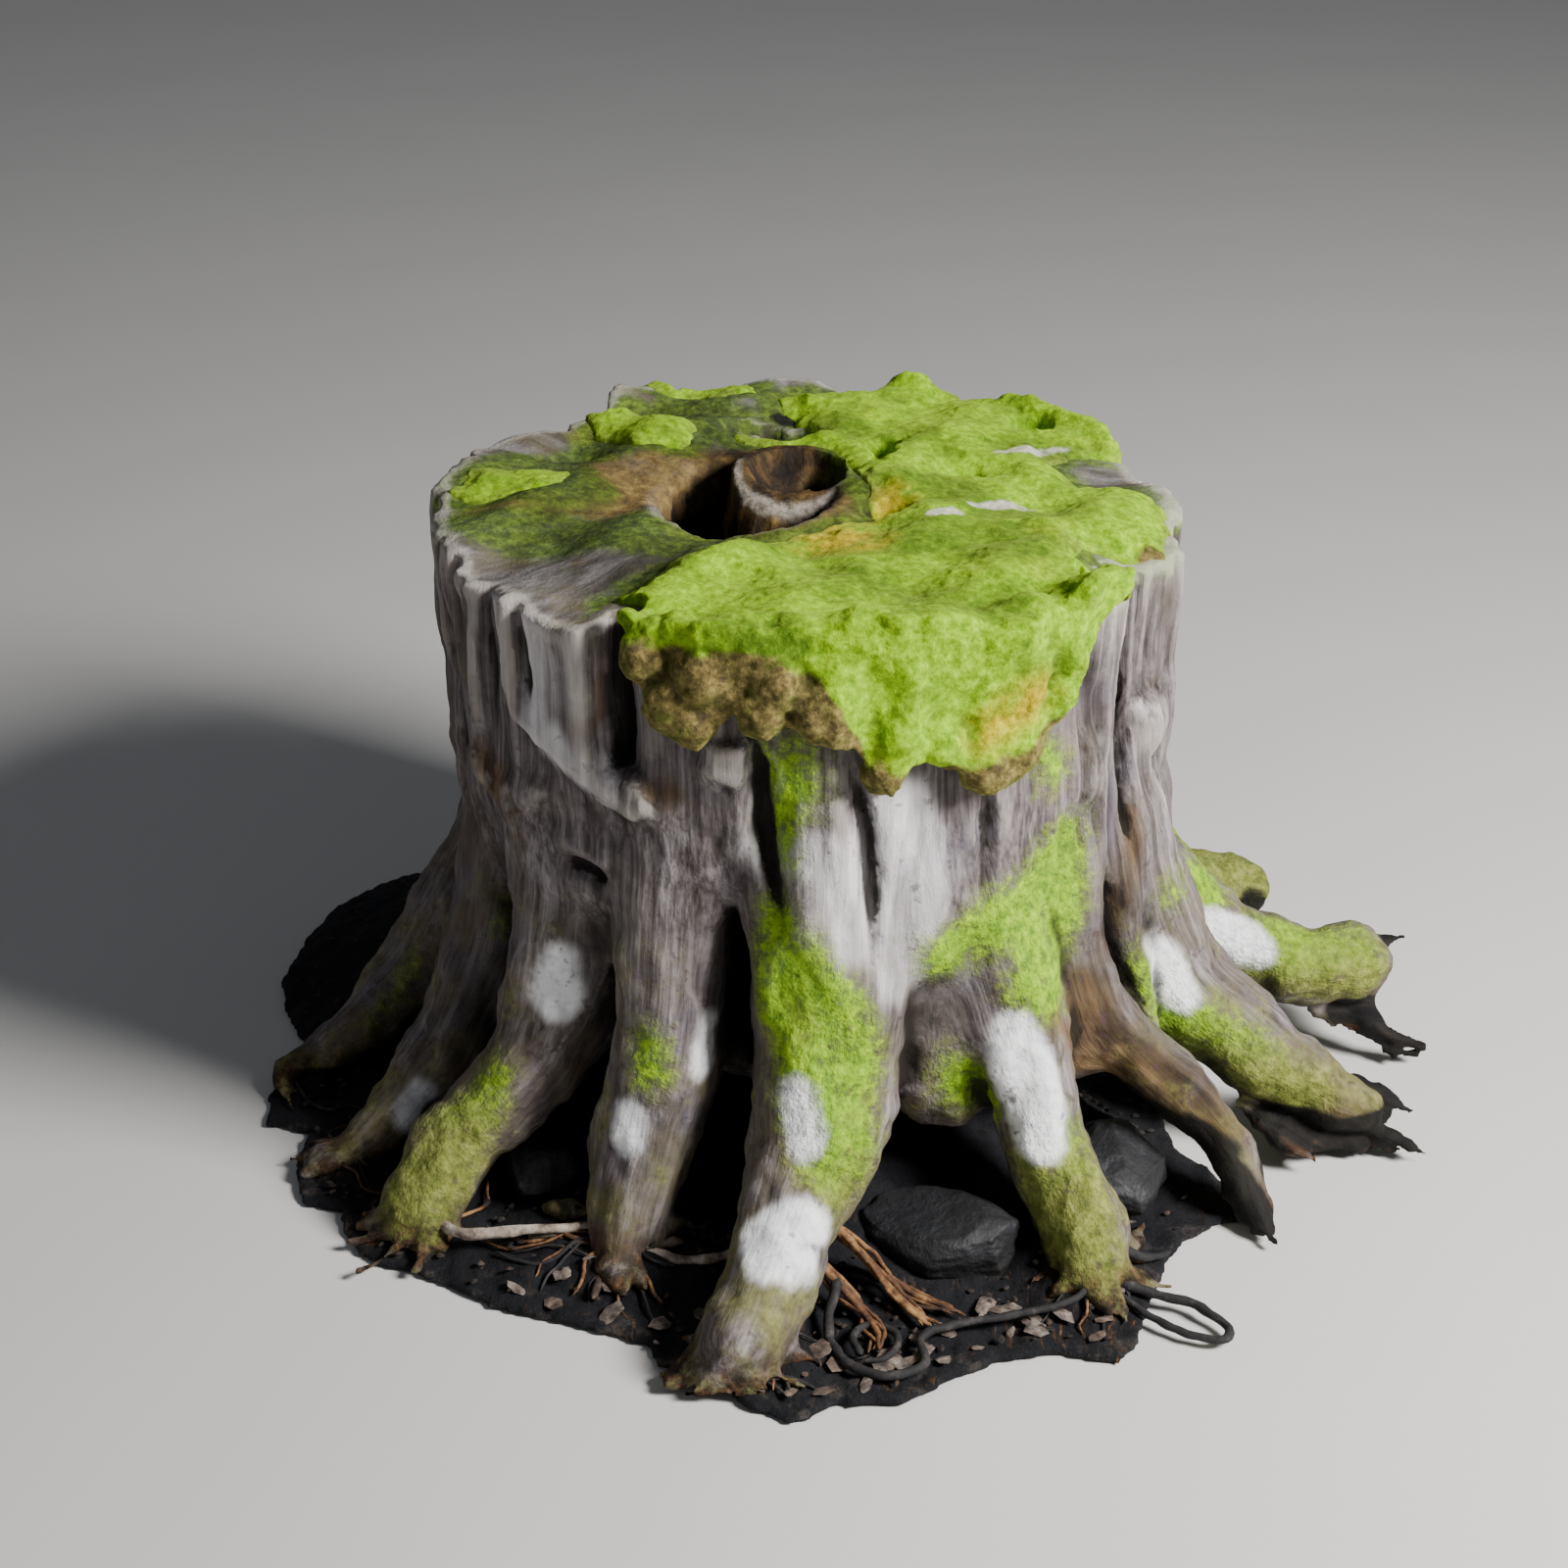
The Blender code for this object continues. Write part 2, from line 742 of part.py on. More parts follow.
def stump_field(grid):
    """Distance to the whole stump: trunk, roots, cut face, heart, scars and grooves."""
    blend = TRUNK_BLEND_LOW + (TRUNK_BLEND_HIGH - TRUNK_BLEND_LOW) * smooth_step(grid.z, *BLEND_HEIGHTS)
    field = smooth_union(trunk_field(grid), roots_field(grid), blend)
    arc = np.arctan2(grid.y, grid.x) * CUT_RADIUS
    outer = smooth_step(np.hypot(grid.x, grid.y), 0.190, 0.215)
    for proud, corners in SLABS:
        corners = [(math.radians(azimuth) * CUT_RADIUS, height) for azimuth, height in corners]
        within = inside_outline(arc, grid.z, corners)
        field = field - proud * outer * smooth_step(within, -SLAB_EDGE, SLAB_EDGE)
    for radius, out, points in SCARS:
        line = spline([(*on_trunk(azimuth, height, out), radius) for azimuth, height in points], ROOT_STEPS)
        block, scar = grid.tube(line, 0.03)
        field[block] = smooth_union(field[block], scar, 0.006)
    for radius, depth, points in GROOVES:
        out = CUT_RADIUS + radius - depth
        line = spline([(*on_trunk(azimuth, height, out), radius) for azimuth, height in points], ROOT_STEPS)
        block, groove = grid.tube(line, 0.03)
        field[block] = smooth_cut(field[block], groove, 0.006)
    field = smooth_cut(field, face_height(grid) - grid.z, 0.007)
    field = heart_field(grid, field)
    return smooth_cut(field, grid.z - FLOOR_GAP, 0.002)


def inside_outline(x, y, corners):
    """Distance to the outline on the plan, positive inside it."""
    nearest = np.full(np.broadcast(x, y).shape, 1.0)
    odd = np.zeros(nearest.shape, bool)
    for (ax, ay), (bx, by) in zip(corners, corners[1:] + corners[:1]):
        dx, dy = bx - ax, by - ay
        t = np.clip(((x - ax) * dx + (y - ay) * dy) / (dx * dx + dy * dy), 0.0, 1.0)
        nearest = np.minimum(nearest, np.hypot(x - ax - t * dx, y - ay - t * dy))
        crosses = ((ay > y) != (by > y)) & (x < ax + (y - ay) * dx / (dy if dy else 1.0))
        odd ^= crosses
    return np.where(odd, nearest, -nearest)


def moss_field(grid, stump, thickness, corners):
    """A mat on the stump's skin, inside the outline and above the hem."""
    azimuth = np.degrees(np.arctan2(grid.y, grid.x))
    hem = np.interp(azimuth, *zip(*MOSS_HEM), left=HEM_AWAY, right=HEM_AWAY)
    cover = np.minimum(inside_outline(grid.x, grid.y, corners), grid.z - hem)
    over_edge = smooth_step(np.hypot(grid.x, grid.y), CUT_RADIUS - 0.020, CUT_RADIUS)
    full = thickness + (DRAPE_THICKNESS - thickness) * over_edge
    lumps = 1.0 + 0.22 * np.sin(grid.x * 92.0 + 1.3) * np.sin(grid.y * 84.0) * np.cos(grid.z * 70.0)
    buried = 2.0 * MOSS_ROOT
    depth = buried + (full * lumps - buried) * smooth_step(cover, -MOSS_EDGE, MOSS_EDGE)
    return np.maximum(stump - depth, MOSS_ROOT - stump)


def settled(field):
    """Fills the grid points at which the surface would touch itself across a face or a cell."""
    filled = field.copy()
    full = tuple(slice(0, n) for n in field.shape)
    for _ in range(12):
        inside = filled < 0.0
        add = np.zeros(field.shape, bool)
        for u, v in ((0, 1), (0, 2), (1, 2)):
            spots = []
            for du, dv in ((0, 0), (1, 0), (1, 1), (0, 1)):
                block = list(full)
                block[u] = slice(du, field.shape[u] - 1 + du)
                block[v] = slice(dv, field.shape[v] - 1 + dv)
                spots.append(tuple(block))
            a, b, c, d = (inside[spot] for spot in spots)
            crossed = (a == c) & (b == d) & (a != b)
            for spot in spots:
                add[spot] |= crossed
        block = [tuple(slice(s, n - 1 + s) for s, n in zip(step, field.shape)) for step in CELL_CORNERS]
        for sign in (True, False):
            count = sum((inside[spot] == sign).astype(np.int8) for spot in block)
            for n in range(4):
                lone = (count == 2) & (inside[block[n]] == sign) & (inside[block[7 - n]] == sign)
                for spot in block:
                    add[spot] |= lone
        add &= ~inside
        if not add.any():
            break
        filled[add] = -1e-4
    return filled


def surface_of(grid, field):
    """(points, quads) of the surface where the field is zero: one point in each cell that it crosses."""
    field = settled(field)
    inside = field < 0.0
    steps = CELL_CORNERS
    size = [n - 1 for n in field.shape]

    def corner(values, step):
        return values[tuple(slice(s, s + n) for s, n in zip(step, size))]

    count = sum(corner(inside, step).astype(np.int8) for step in steps)
    cells = np.argwhere((count > 0) & (count < 8))
    index = np.full(size, -1)
    index[tuple(cells.T)] = np.arange(len(cells))
    total = np.zeros((len(cells), 3))
    crossings = np.zeros((len(cells), 1))
    for a in steps:
        for axis in range(3):
            if a[axis]:
                continue
            b = tuple(s + (n == axis) for n, s in enumerate(a))
            value_a = corner(field, a)[tuple(cells.T)]
            value_b = corner(field, b)[tuple(cells.T)]
            crossed = (value_a < 0.0) != (value_b < 0.0)
            share = np.where(crossed, value_a / np.where(crossed, value_a - value_b, 1.0), 0.0)
            place = cells + np.array(a)
            place = place.astype(float)
            place[:, axis] += share
            total += place * crossed[:, None]
            crossings += crossed[:, None]
    points = grid.low + grid.cell * total / crossings
    quads = []
    for axis in range(3):
        u, v = (axis + 1) % 3, (axis + 2) % 3
        near = [slice(1, n) for n in size]
        near[axis] = slice(0, size[axis])
        far = list(near)
        far[axis] = slice(1, size[axis] + 1)
        here, there = inside[tuple(near)], inside[tuple(far)]
        found = np.argwhere(here != there) + np.array([0 if n == axis else 1 for n in range(3)])
        leaving = here[here != there]
        ring = []
        for du, dv in ((1, 1), (0, 1), (0, 0), (1, 0)):
            cell = found.copy()
            cell[:, u] -= du
            cell[:, v] -= dv
            ring.append(index[tuple(cell.T)])
        ring = np.stack(ring, axis=1)
        ring[~leaving] = ring[~leaving][:, ::-1]
        quads.append(ring)
    return points, np.vstack(quads)


def material_of(slot):
    found = bpy.data.materials.get(slot)
    if found:
        return found
    colour, roughness = COLOURS[slot]
    made = bpy.data.materials.new(slot)
    made.use_nodes = True
    shader = made.node_tree.nodes["Principled BSDF"]
    shader.inputs["Base Color"].default_value = colour
    shader.inputs["Roughness"].default_value = roughness
    shader.inputs["Metallic"].default_value = 0.0
    return made


def new_object(name, points, faces, slot):
    mesh = bpy.data.meshes.new(name)
    mesh.from_pydata([tuple(p) for p in points], [], [tuple(map(int, f)) for f in faces])
    mesh.materials.append(material_of(slot))
    obj = bpy.data.objects.new(name, mesh)
    bpy.context.scene.collection.objects.link(obj)
    return obj


def apply_modifiers(obj):
    """Makes the evaluated mesh the object's own."""
    graph = bpy.context.evaluated_depsgraph_get()
    mesh = bpy.data.meshes.new_from_object(obj.evaluated_get(graph))
    obj.modifiers.clear()
    obj.data = mesh


def reduce_to(obj, triangles):
    """Evens the mesh out, then merges faces where it is flattest until about this many triangles are left."""
    smooth = obj.modifiers.new("even", "SMOOTH")
    smooth.factor = 0.5
    smooth.iterations = 2
    modifier = obj.modifiers.new("reduce", "DECIMATE")
    modifier.ratio = min(1.0, triangles / sum(len(p.vertices) - 2 for p in obj.data.polygons))
    modifier.use_collapse_triangulate = True
    apply_modifiers(obj)


def keep_largest_body(obj):
    """Drops loose scraps, such as a Boolean leaves where two surfaces graze."""
    mesh = bmesh.new()
    mesh.from_mesh(obj.data)
    unseen, bodies = set(mesh.faces), []
    while unseen:
        body, edge = [], [unseen.pop()]
        while edge:
            face = edge.pop()
            body.append(face)
            for side in face.edges:
                for other in side.link_faces if len(side.link_faces) == 2 else ():
                    if other in unseen:
                        unseen.discard(other)
                        edge.append(other)
        bodies.append(body)
    largest = max(bodies, key=lambda body: sum(face.calc_area() for face in body))
    scraps = [face for body in bodies if body is not largest for face in body]
    bmesh.ops.delete(mesh, geom=scraps, context="FACES")
    mesh.to_mesh(obj.data)
    mesh.free()


def swollen_copies(obj):
    """Copies with their skin moved out by each clearance, to cut with."""
    copies = []
    for by in CLEARANCES:
        copy = obj.copy()
        copy.data = obj.data.copy()
        bpy.context.scene.collection.objects.link(copy)
        modifier = copy.modifiers.new("swell", "DISPLACE")
        modifier.strength = by
        modifier.mid_level = 0.0
        apply_modifiers(copy)
        copies.append(copy)
    return copies


def cut_with(obj, tools):
    """Takes the tools out of obj: the wide one gives it room, the close one clears the wide one's folds."""
    for tool in tools:
        modifier = obj.modifiers.new("cut", "BOOLEAN")
        modifier.operation = "DIFFERENCE"
        modifier.solver = "EXACT"
        modifier.use_self = True
        modifier.object = tool
        apply_modifiers(obj)
        keep_largest_body(obj)


def join_all(obj, others):
    """Fuses the other objects into obj and removes them."""
    group = bpy.data.collections.new("joined")
    bpy.context.scene.collection.children.link(group)
    for other in others:
        group.objects.link(other)
    modifier = obj.modifiers.new("join", "BOOLEAN")
    modifier.operand_type = "COLLECTION"
    modifier.operation = "UNION"
    modifier.solver = "EXACT"
    modifier.use_self = True
    modifier.collection = group
    apply_modifiers(obj)
    for other in others:
        bpy.data.objects.remove(other)
    bpy.data.collections.remove(group)
    keep_largest_body(obj)


def rootlet(number, radius, points):
    curve = bpy.data.curves.new(f"rootlet_{number}", "CURVE")
    curve.dimensions = "3D"
    curve.bevel_depth = radius
    curve.bevel_resolution = ROOTLET_SIDES
    curve.use_fill_caps = True
    line = spline(points, ROOTLET_STEPS)
    track = curve.splines.new("POLY")
    track.points.add(len(line) - 1)
    for number, place in enumerate(line):
        track.points[number].co = (*place, 1.0)
        track.points[number].radius = 1.0 - 0.25 * number / len(line)
    obj = bpy.data.objects.new(curve.name, curve)
    bpy.context.scene.collection.objects.link(obj)
    graph = bpy.context.evaluated_depsgraph_get()
    mesh = bpy.data.meshes.new_from_object(obj.evaluated_get(graph))
    bpy.data.objects.remove(obj)
    made = bpy.data.objects.new(curve.name, mesh)
    bpy.context.scene.collection.objects.link(made)
    weld_ends(made)
    return made


def weld_ends(obj):
    mesh = bmesh.new()
    mesh.from_mesh(obj.data)
    bmesh.ops.remove_doubles(mesh, verts=mesh.verts, dist=1e-5)
    bmesh.ops.recalc_face_normals(mesh, faces=mesh.faces)
    mesh.to_mesh(obj.data)
    mesh.free()


def shard(number, thickness, corners):
    """A flat torn flake, as thick as given, round the corner points."""
    mesh = bmesh.new()
    middle = sum((Vector(c) for c in corners), Vector()) / len(corners)
    rings = []
    for lift in (0.0, -thickness):
        rings.append([mesh.verts.new(Vector(c) + Vector((0, 0, lift))) for c in corners])
    hubs = [mesh.verts.new(middle + Vector((0, 0, lift))) for lift in (0.0, -thickness)]
    for n in range(len(corners)):
        m = (n + 1) % len(corners)
        mesh.faces.new((rings[0][n], rings[0][m], hubs[0]))
        mesh.faces.new((rings[1][m], rings[1][n], hubs[1]))
        mesh.faces.new((rings[0][m], rings[0][n], rings[1][n], rings[1][m]))
    bmesh.ops.recalc_face_normals(mesh, faces=mesh.faces)
    data = bpy.data.meshes.new(f"shard_{number}")
    mesh.to_mesh(data)
    mesh.free()
    obj = bpy.data.objects.new(data.name, data)
    bpy.context.scene.collection.objects.link(obj)
    return obj


def build_stump(grid, field):
    obj = new_object("stump", *surface_of(grid, field), "wood")
    keep_largest_body(obj)
    reduce_to(obj, STUMP_TRIANGLES)
    extras = [rootlet(n, radius, points) for n, (radius, points) in enumerate(ROOTLETS)]
    extras += [shard(n, thickness, corners) for n, (thickness, corners) in enumerate(SHARDS)]
    join_all(obj, extras)
    return obj


def build_moss(tools):
    grid = Grid(MOSS_LOW, MOSS_HIGH, MOSS_CELL)
    stump = stump_field(grid)
    for name, (thickness, corners) in MOSS_PATCHES.items():
        obj = new_object(name, *surface_of(grid, moss_field(grid, stump, thickness, corners)), "moss")
        keep_largest_body(obj)
        reduce_to(obj, (MOSS_TRIANGLES if name == "moss_mat" else PATCH_TRIANGLES) * 2)
        cut_with(obj, tools)


def soil_height(x, y, share):
    """Height of the crust's top, where share runs from 0 in the middle to 1 at its edge."""
    heaped = 1.0 - float(smooth_step(share, 0.30, 0.92))
    height = SOIL_RIM_THICKNESS + (SOIL_HEART - SOIL_RIM_THICKNESS) * heaped
    for bank_x, bank_y, radius, lift in SOIL_BANKS:
        away = math.hypot(x - bank_x, y - bank_y) / radius
        height += lift * (1.0 - float(smooth_step(away, 0.15, 1.0))) * (1.0 - 0.75 * share**6)
    return height + 0.004 * noise.noise(Vector((x * 24.0, y * 24.0, 3.0)))


def build_soil():
    points = [(0.0, 0.0, soil_height(0.0, 0.0, 0.0)), (0.0, 0.0, 0.0)]
    faces = []
    turns = [-math.pi + 2 * math.pi * n / SOIL_SECTORS for n in range(SOIL_SECTORS)]
    for ring in range(1, SOIL_RINGS + 1):
        share = (ring / SOIL_RINGS) ** 0.8
        for turn in turns:
            reach = share * float(np.interp(math.degrees(turn), *zip(*SOIL_EDGE)))
            x, y = reach * math.cos(turn), reach * math.sin(turn)
            points.append((x, y, soil_height(x, y, share)))
    bottom = len(points)
    points += [(x, y, 0.0) for x, y, _ in points[-SOIL_SECTORS:]]
    for n in range(SOIL_SECTORS):
        m = (n + 1) % SOIL_SECTORS
        faces.append((0, 2 + n, 2 + m))
        for ring in range(SOIL_RINGS - 1):
            a, b = 2 + ring * SOIL_SECTORS, 2 + (ring + 1) * SOIL_SECTORS
            faces.append((a + n, b + n, b + m, a + m))
        last = 2 + (SOIL_RINGS - 1) * SOIL_SECTORS
        faces.append((last + n, bottom + n, bottom + m, last + m))
        faces.append((1, bottom + m, bottom + n))
    return new_object("soil", points, faces, "soil")


def build_stone(name, centre, radii, turn):
    mesh = bmesh.new()
    bmesh.ops.create_icosphere(mesh, subdivisions=STONE_DETAIL, radius=1.0)
    spin = math.radians(turn)
    for vert in mesh.verts:
        rough = 1.0 + STONE_ROUGHNESS * noise.noise(vert.co * 1.6 + Vector(centre) * 40.0)
        p = Vector(r * c for r, c in zip(radii, vert.co)) * rough
        x, y = p.x * math.cos(spin) - p.y * math.sin(spin), p.x * math.sin(spin) + p.y * math.cos(spin)
        vert.co = Vector((x, y, max(p.z, -centre[2] + FLOOR_GAP * 2))) + Vector(centre)
    data = bpy.data.meshes.new(name)
    mesh.to_mesh(data)
    mesh.free()
    data.materials.append(material_of("stone"))
    obj = bpy.data.objects.new(name, data)
    bpy.context.scene.collection.objects.link(obj)
    return obj


def main():
    for obj in list(bpy.data.objects):
        bpy.data.objects.remove(obj)
    grid = Grid(GRID_LOW, GRID_HIGH, CELL)
    field = stump_field(grid)
    stump = build_stump(grid, field)
    tools = swollen_copies(stump)
    build_moss(tools)
    soil = build_soil()
    cut_with(soil, tools)
    for name, (centre, radii, turn) in STONES.items():
        stone = build_stone(name, centre, radii, turn)
        cut_with(stone, tools)
        beds = swollen_copies(stone)
        cut_with(soil, beds)
        tools += beds
    for tool in tools:
        bpy.data.objects.remove(tool)
    for obj in bpy.data.objects:
        obj.data.shade_smooth()


main()
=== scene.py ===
"""The looks of a weathered tree stump: fibrous grey wood with clefts, films of algae and pale crusts, hanging moss, soil, stones and
fine roots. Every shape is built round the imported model, in the same frame: metres, +Z up, the hanging moss towards -Y."""

import functools
import math

import bmesh
import bpy
import numpy as np
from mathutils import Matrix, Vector


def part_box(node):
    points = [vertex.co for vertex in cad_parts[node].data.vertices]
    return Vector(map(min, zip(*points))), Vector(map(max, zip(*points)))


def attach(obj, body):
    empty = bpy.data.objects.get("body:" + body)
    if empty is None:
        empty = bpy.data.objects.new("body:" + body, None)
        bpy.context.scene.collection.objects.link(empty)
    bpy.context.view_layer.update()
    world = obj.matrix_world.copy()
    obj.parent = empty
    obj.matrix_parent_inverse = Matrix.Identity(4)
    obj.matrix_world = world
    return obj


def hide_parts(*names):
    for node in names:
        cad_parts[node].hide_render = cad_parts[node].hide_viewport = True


# Trunk
CUT_HEIGHT = 0.440
CUT_RADIUS = 0.250
TRUNK_PROFILE = (
    (0.000, 0.120),
    (0.060, 0.150),
    (0.120, 0.182),
    (0.180, 0.208),
    (0.240, 0.224),
    (0.300, 0.233),
    (0.360, 0.242),
    (0.440, 0.249),
    (0.500, 0.249),
)
TRUNK_OUTLINE = (
    (-180, 0.000),
    (-155, 0.003),
    (-135, 0.004),
    (-118, -0.002),
    (-100, 0.002),
    (-80, -0.003),
    (-62, 0.003),
    (-45, 0.004),
    (-33, -0.004),
    (-27, -0.010),
    (-20, 0.004),
    (0, 0.003),
    (22, 0.000),
    (35, 0.012),
    (50, 0.000),
    (66, 0.008),
    (80, -0.004),
    (95, 0.006),
    (108, 0.000),
    (122, 0.008),
    (131, -0.030),
    (142, -0.012),
    (160, 0.004),
    (180, 0.000),
)
FLUTES = ((17, 0.4, 0.0022), (29, 1.9, 0.0016), (41, 0.7, 0.0012))
OUTLINE_FADE = (0.10, 0.38)
TRUNK_UNDERSIDE = 0.055

# Roots: (x, y, z, radius) along each
ROOTS = {
    "left_back": (
        (-0.170, 0.100, 0.30, 0.035),
        (-0.205, 0.085, 0.20, 0.036),
        (-0.245, 0.050, 0.12, 0.034),
        (-0.290, 0.010, 0.06, 0.027),
        (-0.335, -0.020, 0.030, 0.020),
        (-0.372, -0.040, 0.018, 0.012),
    ),
    "left": (
        (-0.186, -0.020, 0.36, 0.034),
        (-0.198, -0.025, 0.26, 0.036),
        (-0.208, -0.032, 0.18, 0.037),
        (-0.226, -0.052, 0.11, 0.035),
        (-0.252, -0.088, 0.060, 0.030),
        (-0.286, -0.125, 0.030, 0.023),
        (-0.312, -0.148, 0.014, 0.014),
    ),
    "left_front": (
        (-0.135, -0.125, 0.34, 0.040),
        (-0.148, -0.142, 0.24, 0.043),
        (-0.155, -0.152, 0.16, 0.045),
        (-0.176, -0.166, 0.108, 0.036),
        (-0.212, -0.188, 0.074, 0.029),
        (-0.243, -0.212, 0.044, 0.027),
        (-0.255, -0.235, 0.018, 0.025),
    ),
    "front_left": (
        (-0.075, -0.170, 0.34, 0.042),
        (-0.080, -0.190, 0.24, 0.045),
        (-0.086, -0.203, 0.16, 0.045),
        (-0.100, -0.222, 0.095, 0.038),
        (-0.114, -0.240, 0.045, 0.031),
        (-0.122, -0.255, 0.012, 0.026),
    ),
    "front": (
        (0.010, -0.185, 0.36, 0.055),
        (0.012, -0.205, 0.25, 0.057),
        (0.012, -0.228, 0.165, 0.054),
        (0.006, -0.262, 0.100, 0.041),
        (-0.010, -0.305, 0.062, 0.034),
        (-0.030, -0.352, 0.034, 0.032),
        (-0.038, -0.374, 0.024, 0.030),
    ),
    "front_right": (
        (0.090, -0.160, 0.34, 0.045),
        (0.105, -0.180, 0.24, 0.048),
        (0.128, -0.198, 0.165, 0.043),
        (0.148, -0.224, 0.110, 0.031),
        (0.167, -0.251, 0.065, 0.028),
        (0.186, -0.280, 0.026, 0.029),
    ),
    "right_thin": (
        (0.155, -0.135, 0.30, 0.038),
        (0.172, -0.150, 0.20, 0.036),
        (0.195, -0.158, 0.135, 0.028),
        (0.229, -0.168, 0.100, 0.021),
        (0.262, -0.178, 0.072, 0.019),
        (0.288, -0.194, 0.045, 0.018),
        (0.300, -0.213, 0.020, 0.013),
    ),
    "right_low": (
        (0.200, -0.085, 0.30, 0.038),
        (0.218, -0.085, 0.20, 0.041),
        (0.245, -0.088, 0.135, 0.039),
        (0.290, -0.098, 0.090, 0.034),
        (0.335, -0.110, 0.060, 0.029),
        (0.385, -0.126, 0.036, 0.020),
    ),
    "right": (
        (0.200, -0.010, 0.32, 0.036),
        (0.212, -0.006, 0.24, 0.038),
        (0.230, -0.003, 0.18, 0.037),
        (0.262, 0.000, 0.135, 0.036),
        (0.302, 0.002, 0.100, 0.032),
        (0.352, 0.006, 0.080, 0.030),
        (0.402, 0.016, 0.070, 0.027),
    ),
    "right_back": (
        (0.182, 0.095, 0.30, 0.036),
        (0.205, 0.110, 0.20, 0.037),
        (0.242, 0.138, 0.108, 0.032),
        (0.294, 0.168, 0.058, 0.028),
        (0.342, 0.188, 0.040, 0.023),
    ),
    "back_right": (
        (0.100, 0.180, 0.30, 0.040),
        (0.112, 0.202, 0.20, 0.041),
        (0.132, 0.236, 0.12, 0.037),
        (0.158, 0.280, 0.065, 0.031),
        (0.180, 0.322, 0.032, 0.025),
        (0.196, 0.352, 0.014, 0.014),
    ),
    "back": (
        (-0.020, 0.200, 0.30, 0.042),
        (-0.020, 0.224, 0.20, 0.044),
        (-0.025, 0.260, 0.12, 0.039),
        (-0.038, 0.308, 0.065, 0.032),
        (-0.056, 0.350, 0.030, 0.025),
        (-0.066, 0.378, 0.014, 0.014),
    ),
    "back_left": (
        (-0.130, 0.155, 0.30, 0.040),
        (-0.146, 0.172, 0.20, 0.041),
        (-0.168, 0.200, 0.12, 0.036),
        (-0.202, 0.234, 0.065, 0.030),
        (-0.238, 0.262, 0.035, 0.024),
        (-0.268, 0.282, 0.018, 0.014),
    ),
}
WEBS = (
    (
        (0.062, -0.176, 0.34, 0.050),
        (0.070, -0.188, 0.25, 0.050),
        (0.079, -0.194, 0.17, 0.043),
        (0.088, -0.200, 0.112, 0.033),
    ),
    (
        (0.135, -0.138, 0.30, 0.045),
        (0.148, -0.148, 0.22, 0.045),
        (0.163, -0.152, 0.15, 0.037),
        (0.177, -0.154, 0.112, 0.029),
    ),
    ((0.186, -0.110, 0.27, 0.036), (0.198, -0.122, 0.19, 0.034), (0.212, -0.130, 0.128, 0.026)),
    ((-0.110, -0.145, 0.34, 0.045), (-0.118, -0.160, 0.26, 0.040), (-0.120, -0.170, 0.20, 0.026)),
)
ROOT_STEPS = 4
ROOT_BLEND = 0.011
ROOT_SWELLS = ((0.046, 0.0065, 11), (0.021, 0.0030, 12))
TRUNK_BLEND_LOW = 0.016
TRUNK_BLEND_HIGH = 0.045
BLEND_HEIGHTS = (0.12, 0.32)

# Torn ends: thickness, then (x, y, z) round each flat flake
FLAKES = (
    (
        0.008,
        (
            (0.352, -0.078, 0.046),
            (0.392, -0.084, 0.036),
            (0.394, -0.100, 0.030),
            (0.416, -0.108, 0.022),
            (0.398, -0.116, 0.024),
            (0.424, -0.136, 0.010),
            (0.394, -0.134, 0.018),
            (0.366, -0.140, 0.020),
            (0.333, -0.152, 0.018),
            (0.318, -0.134, 0.026),
            (0.296, -0.120, 0.042),
            (0.330, -0.108, 0.052),
        ),
    ),
    (
        0.008,
        (
            (0.398, 0.034, 0.080),
            (0.436, 0.034, 0.078),
            (0.420, 0.010, 0.050),
            (0.423, -0.004, 0.032),
            (0.456, -0.012, 0.018),
            (0.430, -0.014, 0.024),
            (0.404, -0.006, 0.034),
            (0.372, 0.000, 0.046),
            (0.384, 0.016, 0.062),
        ),
    ),
    (
        0.007,
        (
            (0.338, 0.190, 0.056),
            (0.362, 0.172, 0.046),
            (0.352, 0.156, 0.026),
            (0.338, 0.164, 0.036),
            (0.326, 0.170, 0.048),
        ),
    ),
    (
        0.007,
        (
            (0.286, -0.186, 0.036),
            (0.312, -0.206, 0.022),
            (0.310, -0.238, 0.008),
            (0.292, -0.226, 0.012),
            (0.280, -0.206, 0.022),
        ),
    ),
)
# Splinters on them: how flat, then (x, y, z, radius) along each
SPLINTERS = (
    (0.45, ((0.385, -0.120, 0.028, 0.012), (0.412, -0.134, 0.016, 0.007), (0.430, -0.142, 0.009, 0.003))),
    (0.45, ((0.390, -0.092, 0.036, 0.010), (0.412, -0.098, 0.028, 0.006), (0.428, -0.106, 0.020, 0.003))),
    (0.45, ((0.322, -0.130, 0.030, 0.014), (0.340, -0.148, 0.020, 0.009), (0.352, -0.158, 0.014, 0.003))),
    (0.45, ((0.412, 0.000, 0.036, 0.009), (0.436, -0.010, 0.022, 0.006), (0.462, -0.014, 0.015, 0.003))),
    (0.45, ((0.404, 0.028, 0.078, 0.012), (0.424, 0.034, 0.080, 0.008), (0.442, 0.040, 0.080, 0.003))),
    (0.45, ((0.300, -0.212, 0.020, 0.010), (0.308, -0.232, 0.011, 0.006), (0.312, -0.246, 0.008, 0.003))),
    (0.45, ((0.345, 0.180, 0.046, 0.010), (0.362, 0.172, 0.040, 0.004))),
)
# Feet that end in the soil and fray into it: root, number of strands, spread in degrees, length
FRAYED_FEET = (
    ("left_back", 5, 70, 0.030),
    ("left", 5, 75, 0.026),
    ("left_front", 7, 95, 0.030),
    ("front_left", 8, 105, 0.034),
    ("front", 8, 100, 0.024),
    ("front_right", 8, 105, 0.030),
    ("back_right", 5, 70, 0.030),
    ("back", 5, 70, 0.030),
    ("back_left", 5, 70, 0.030),
)

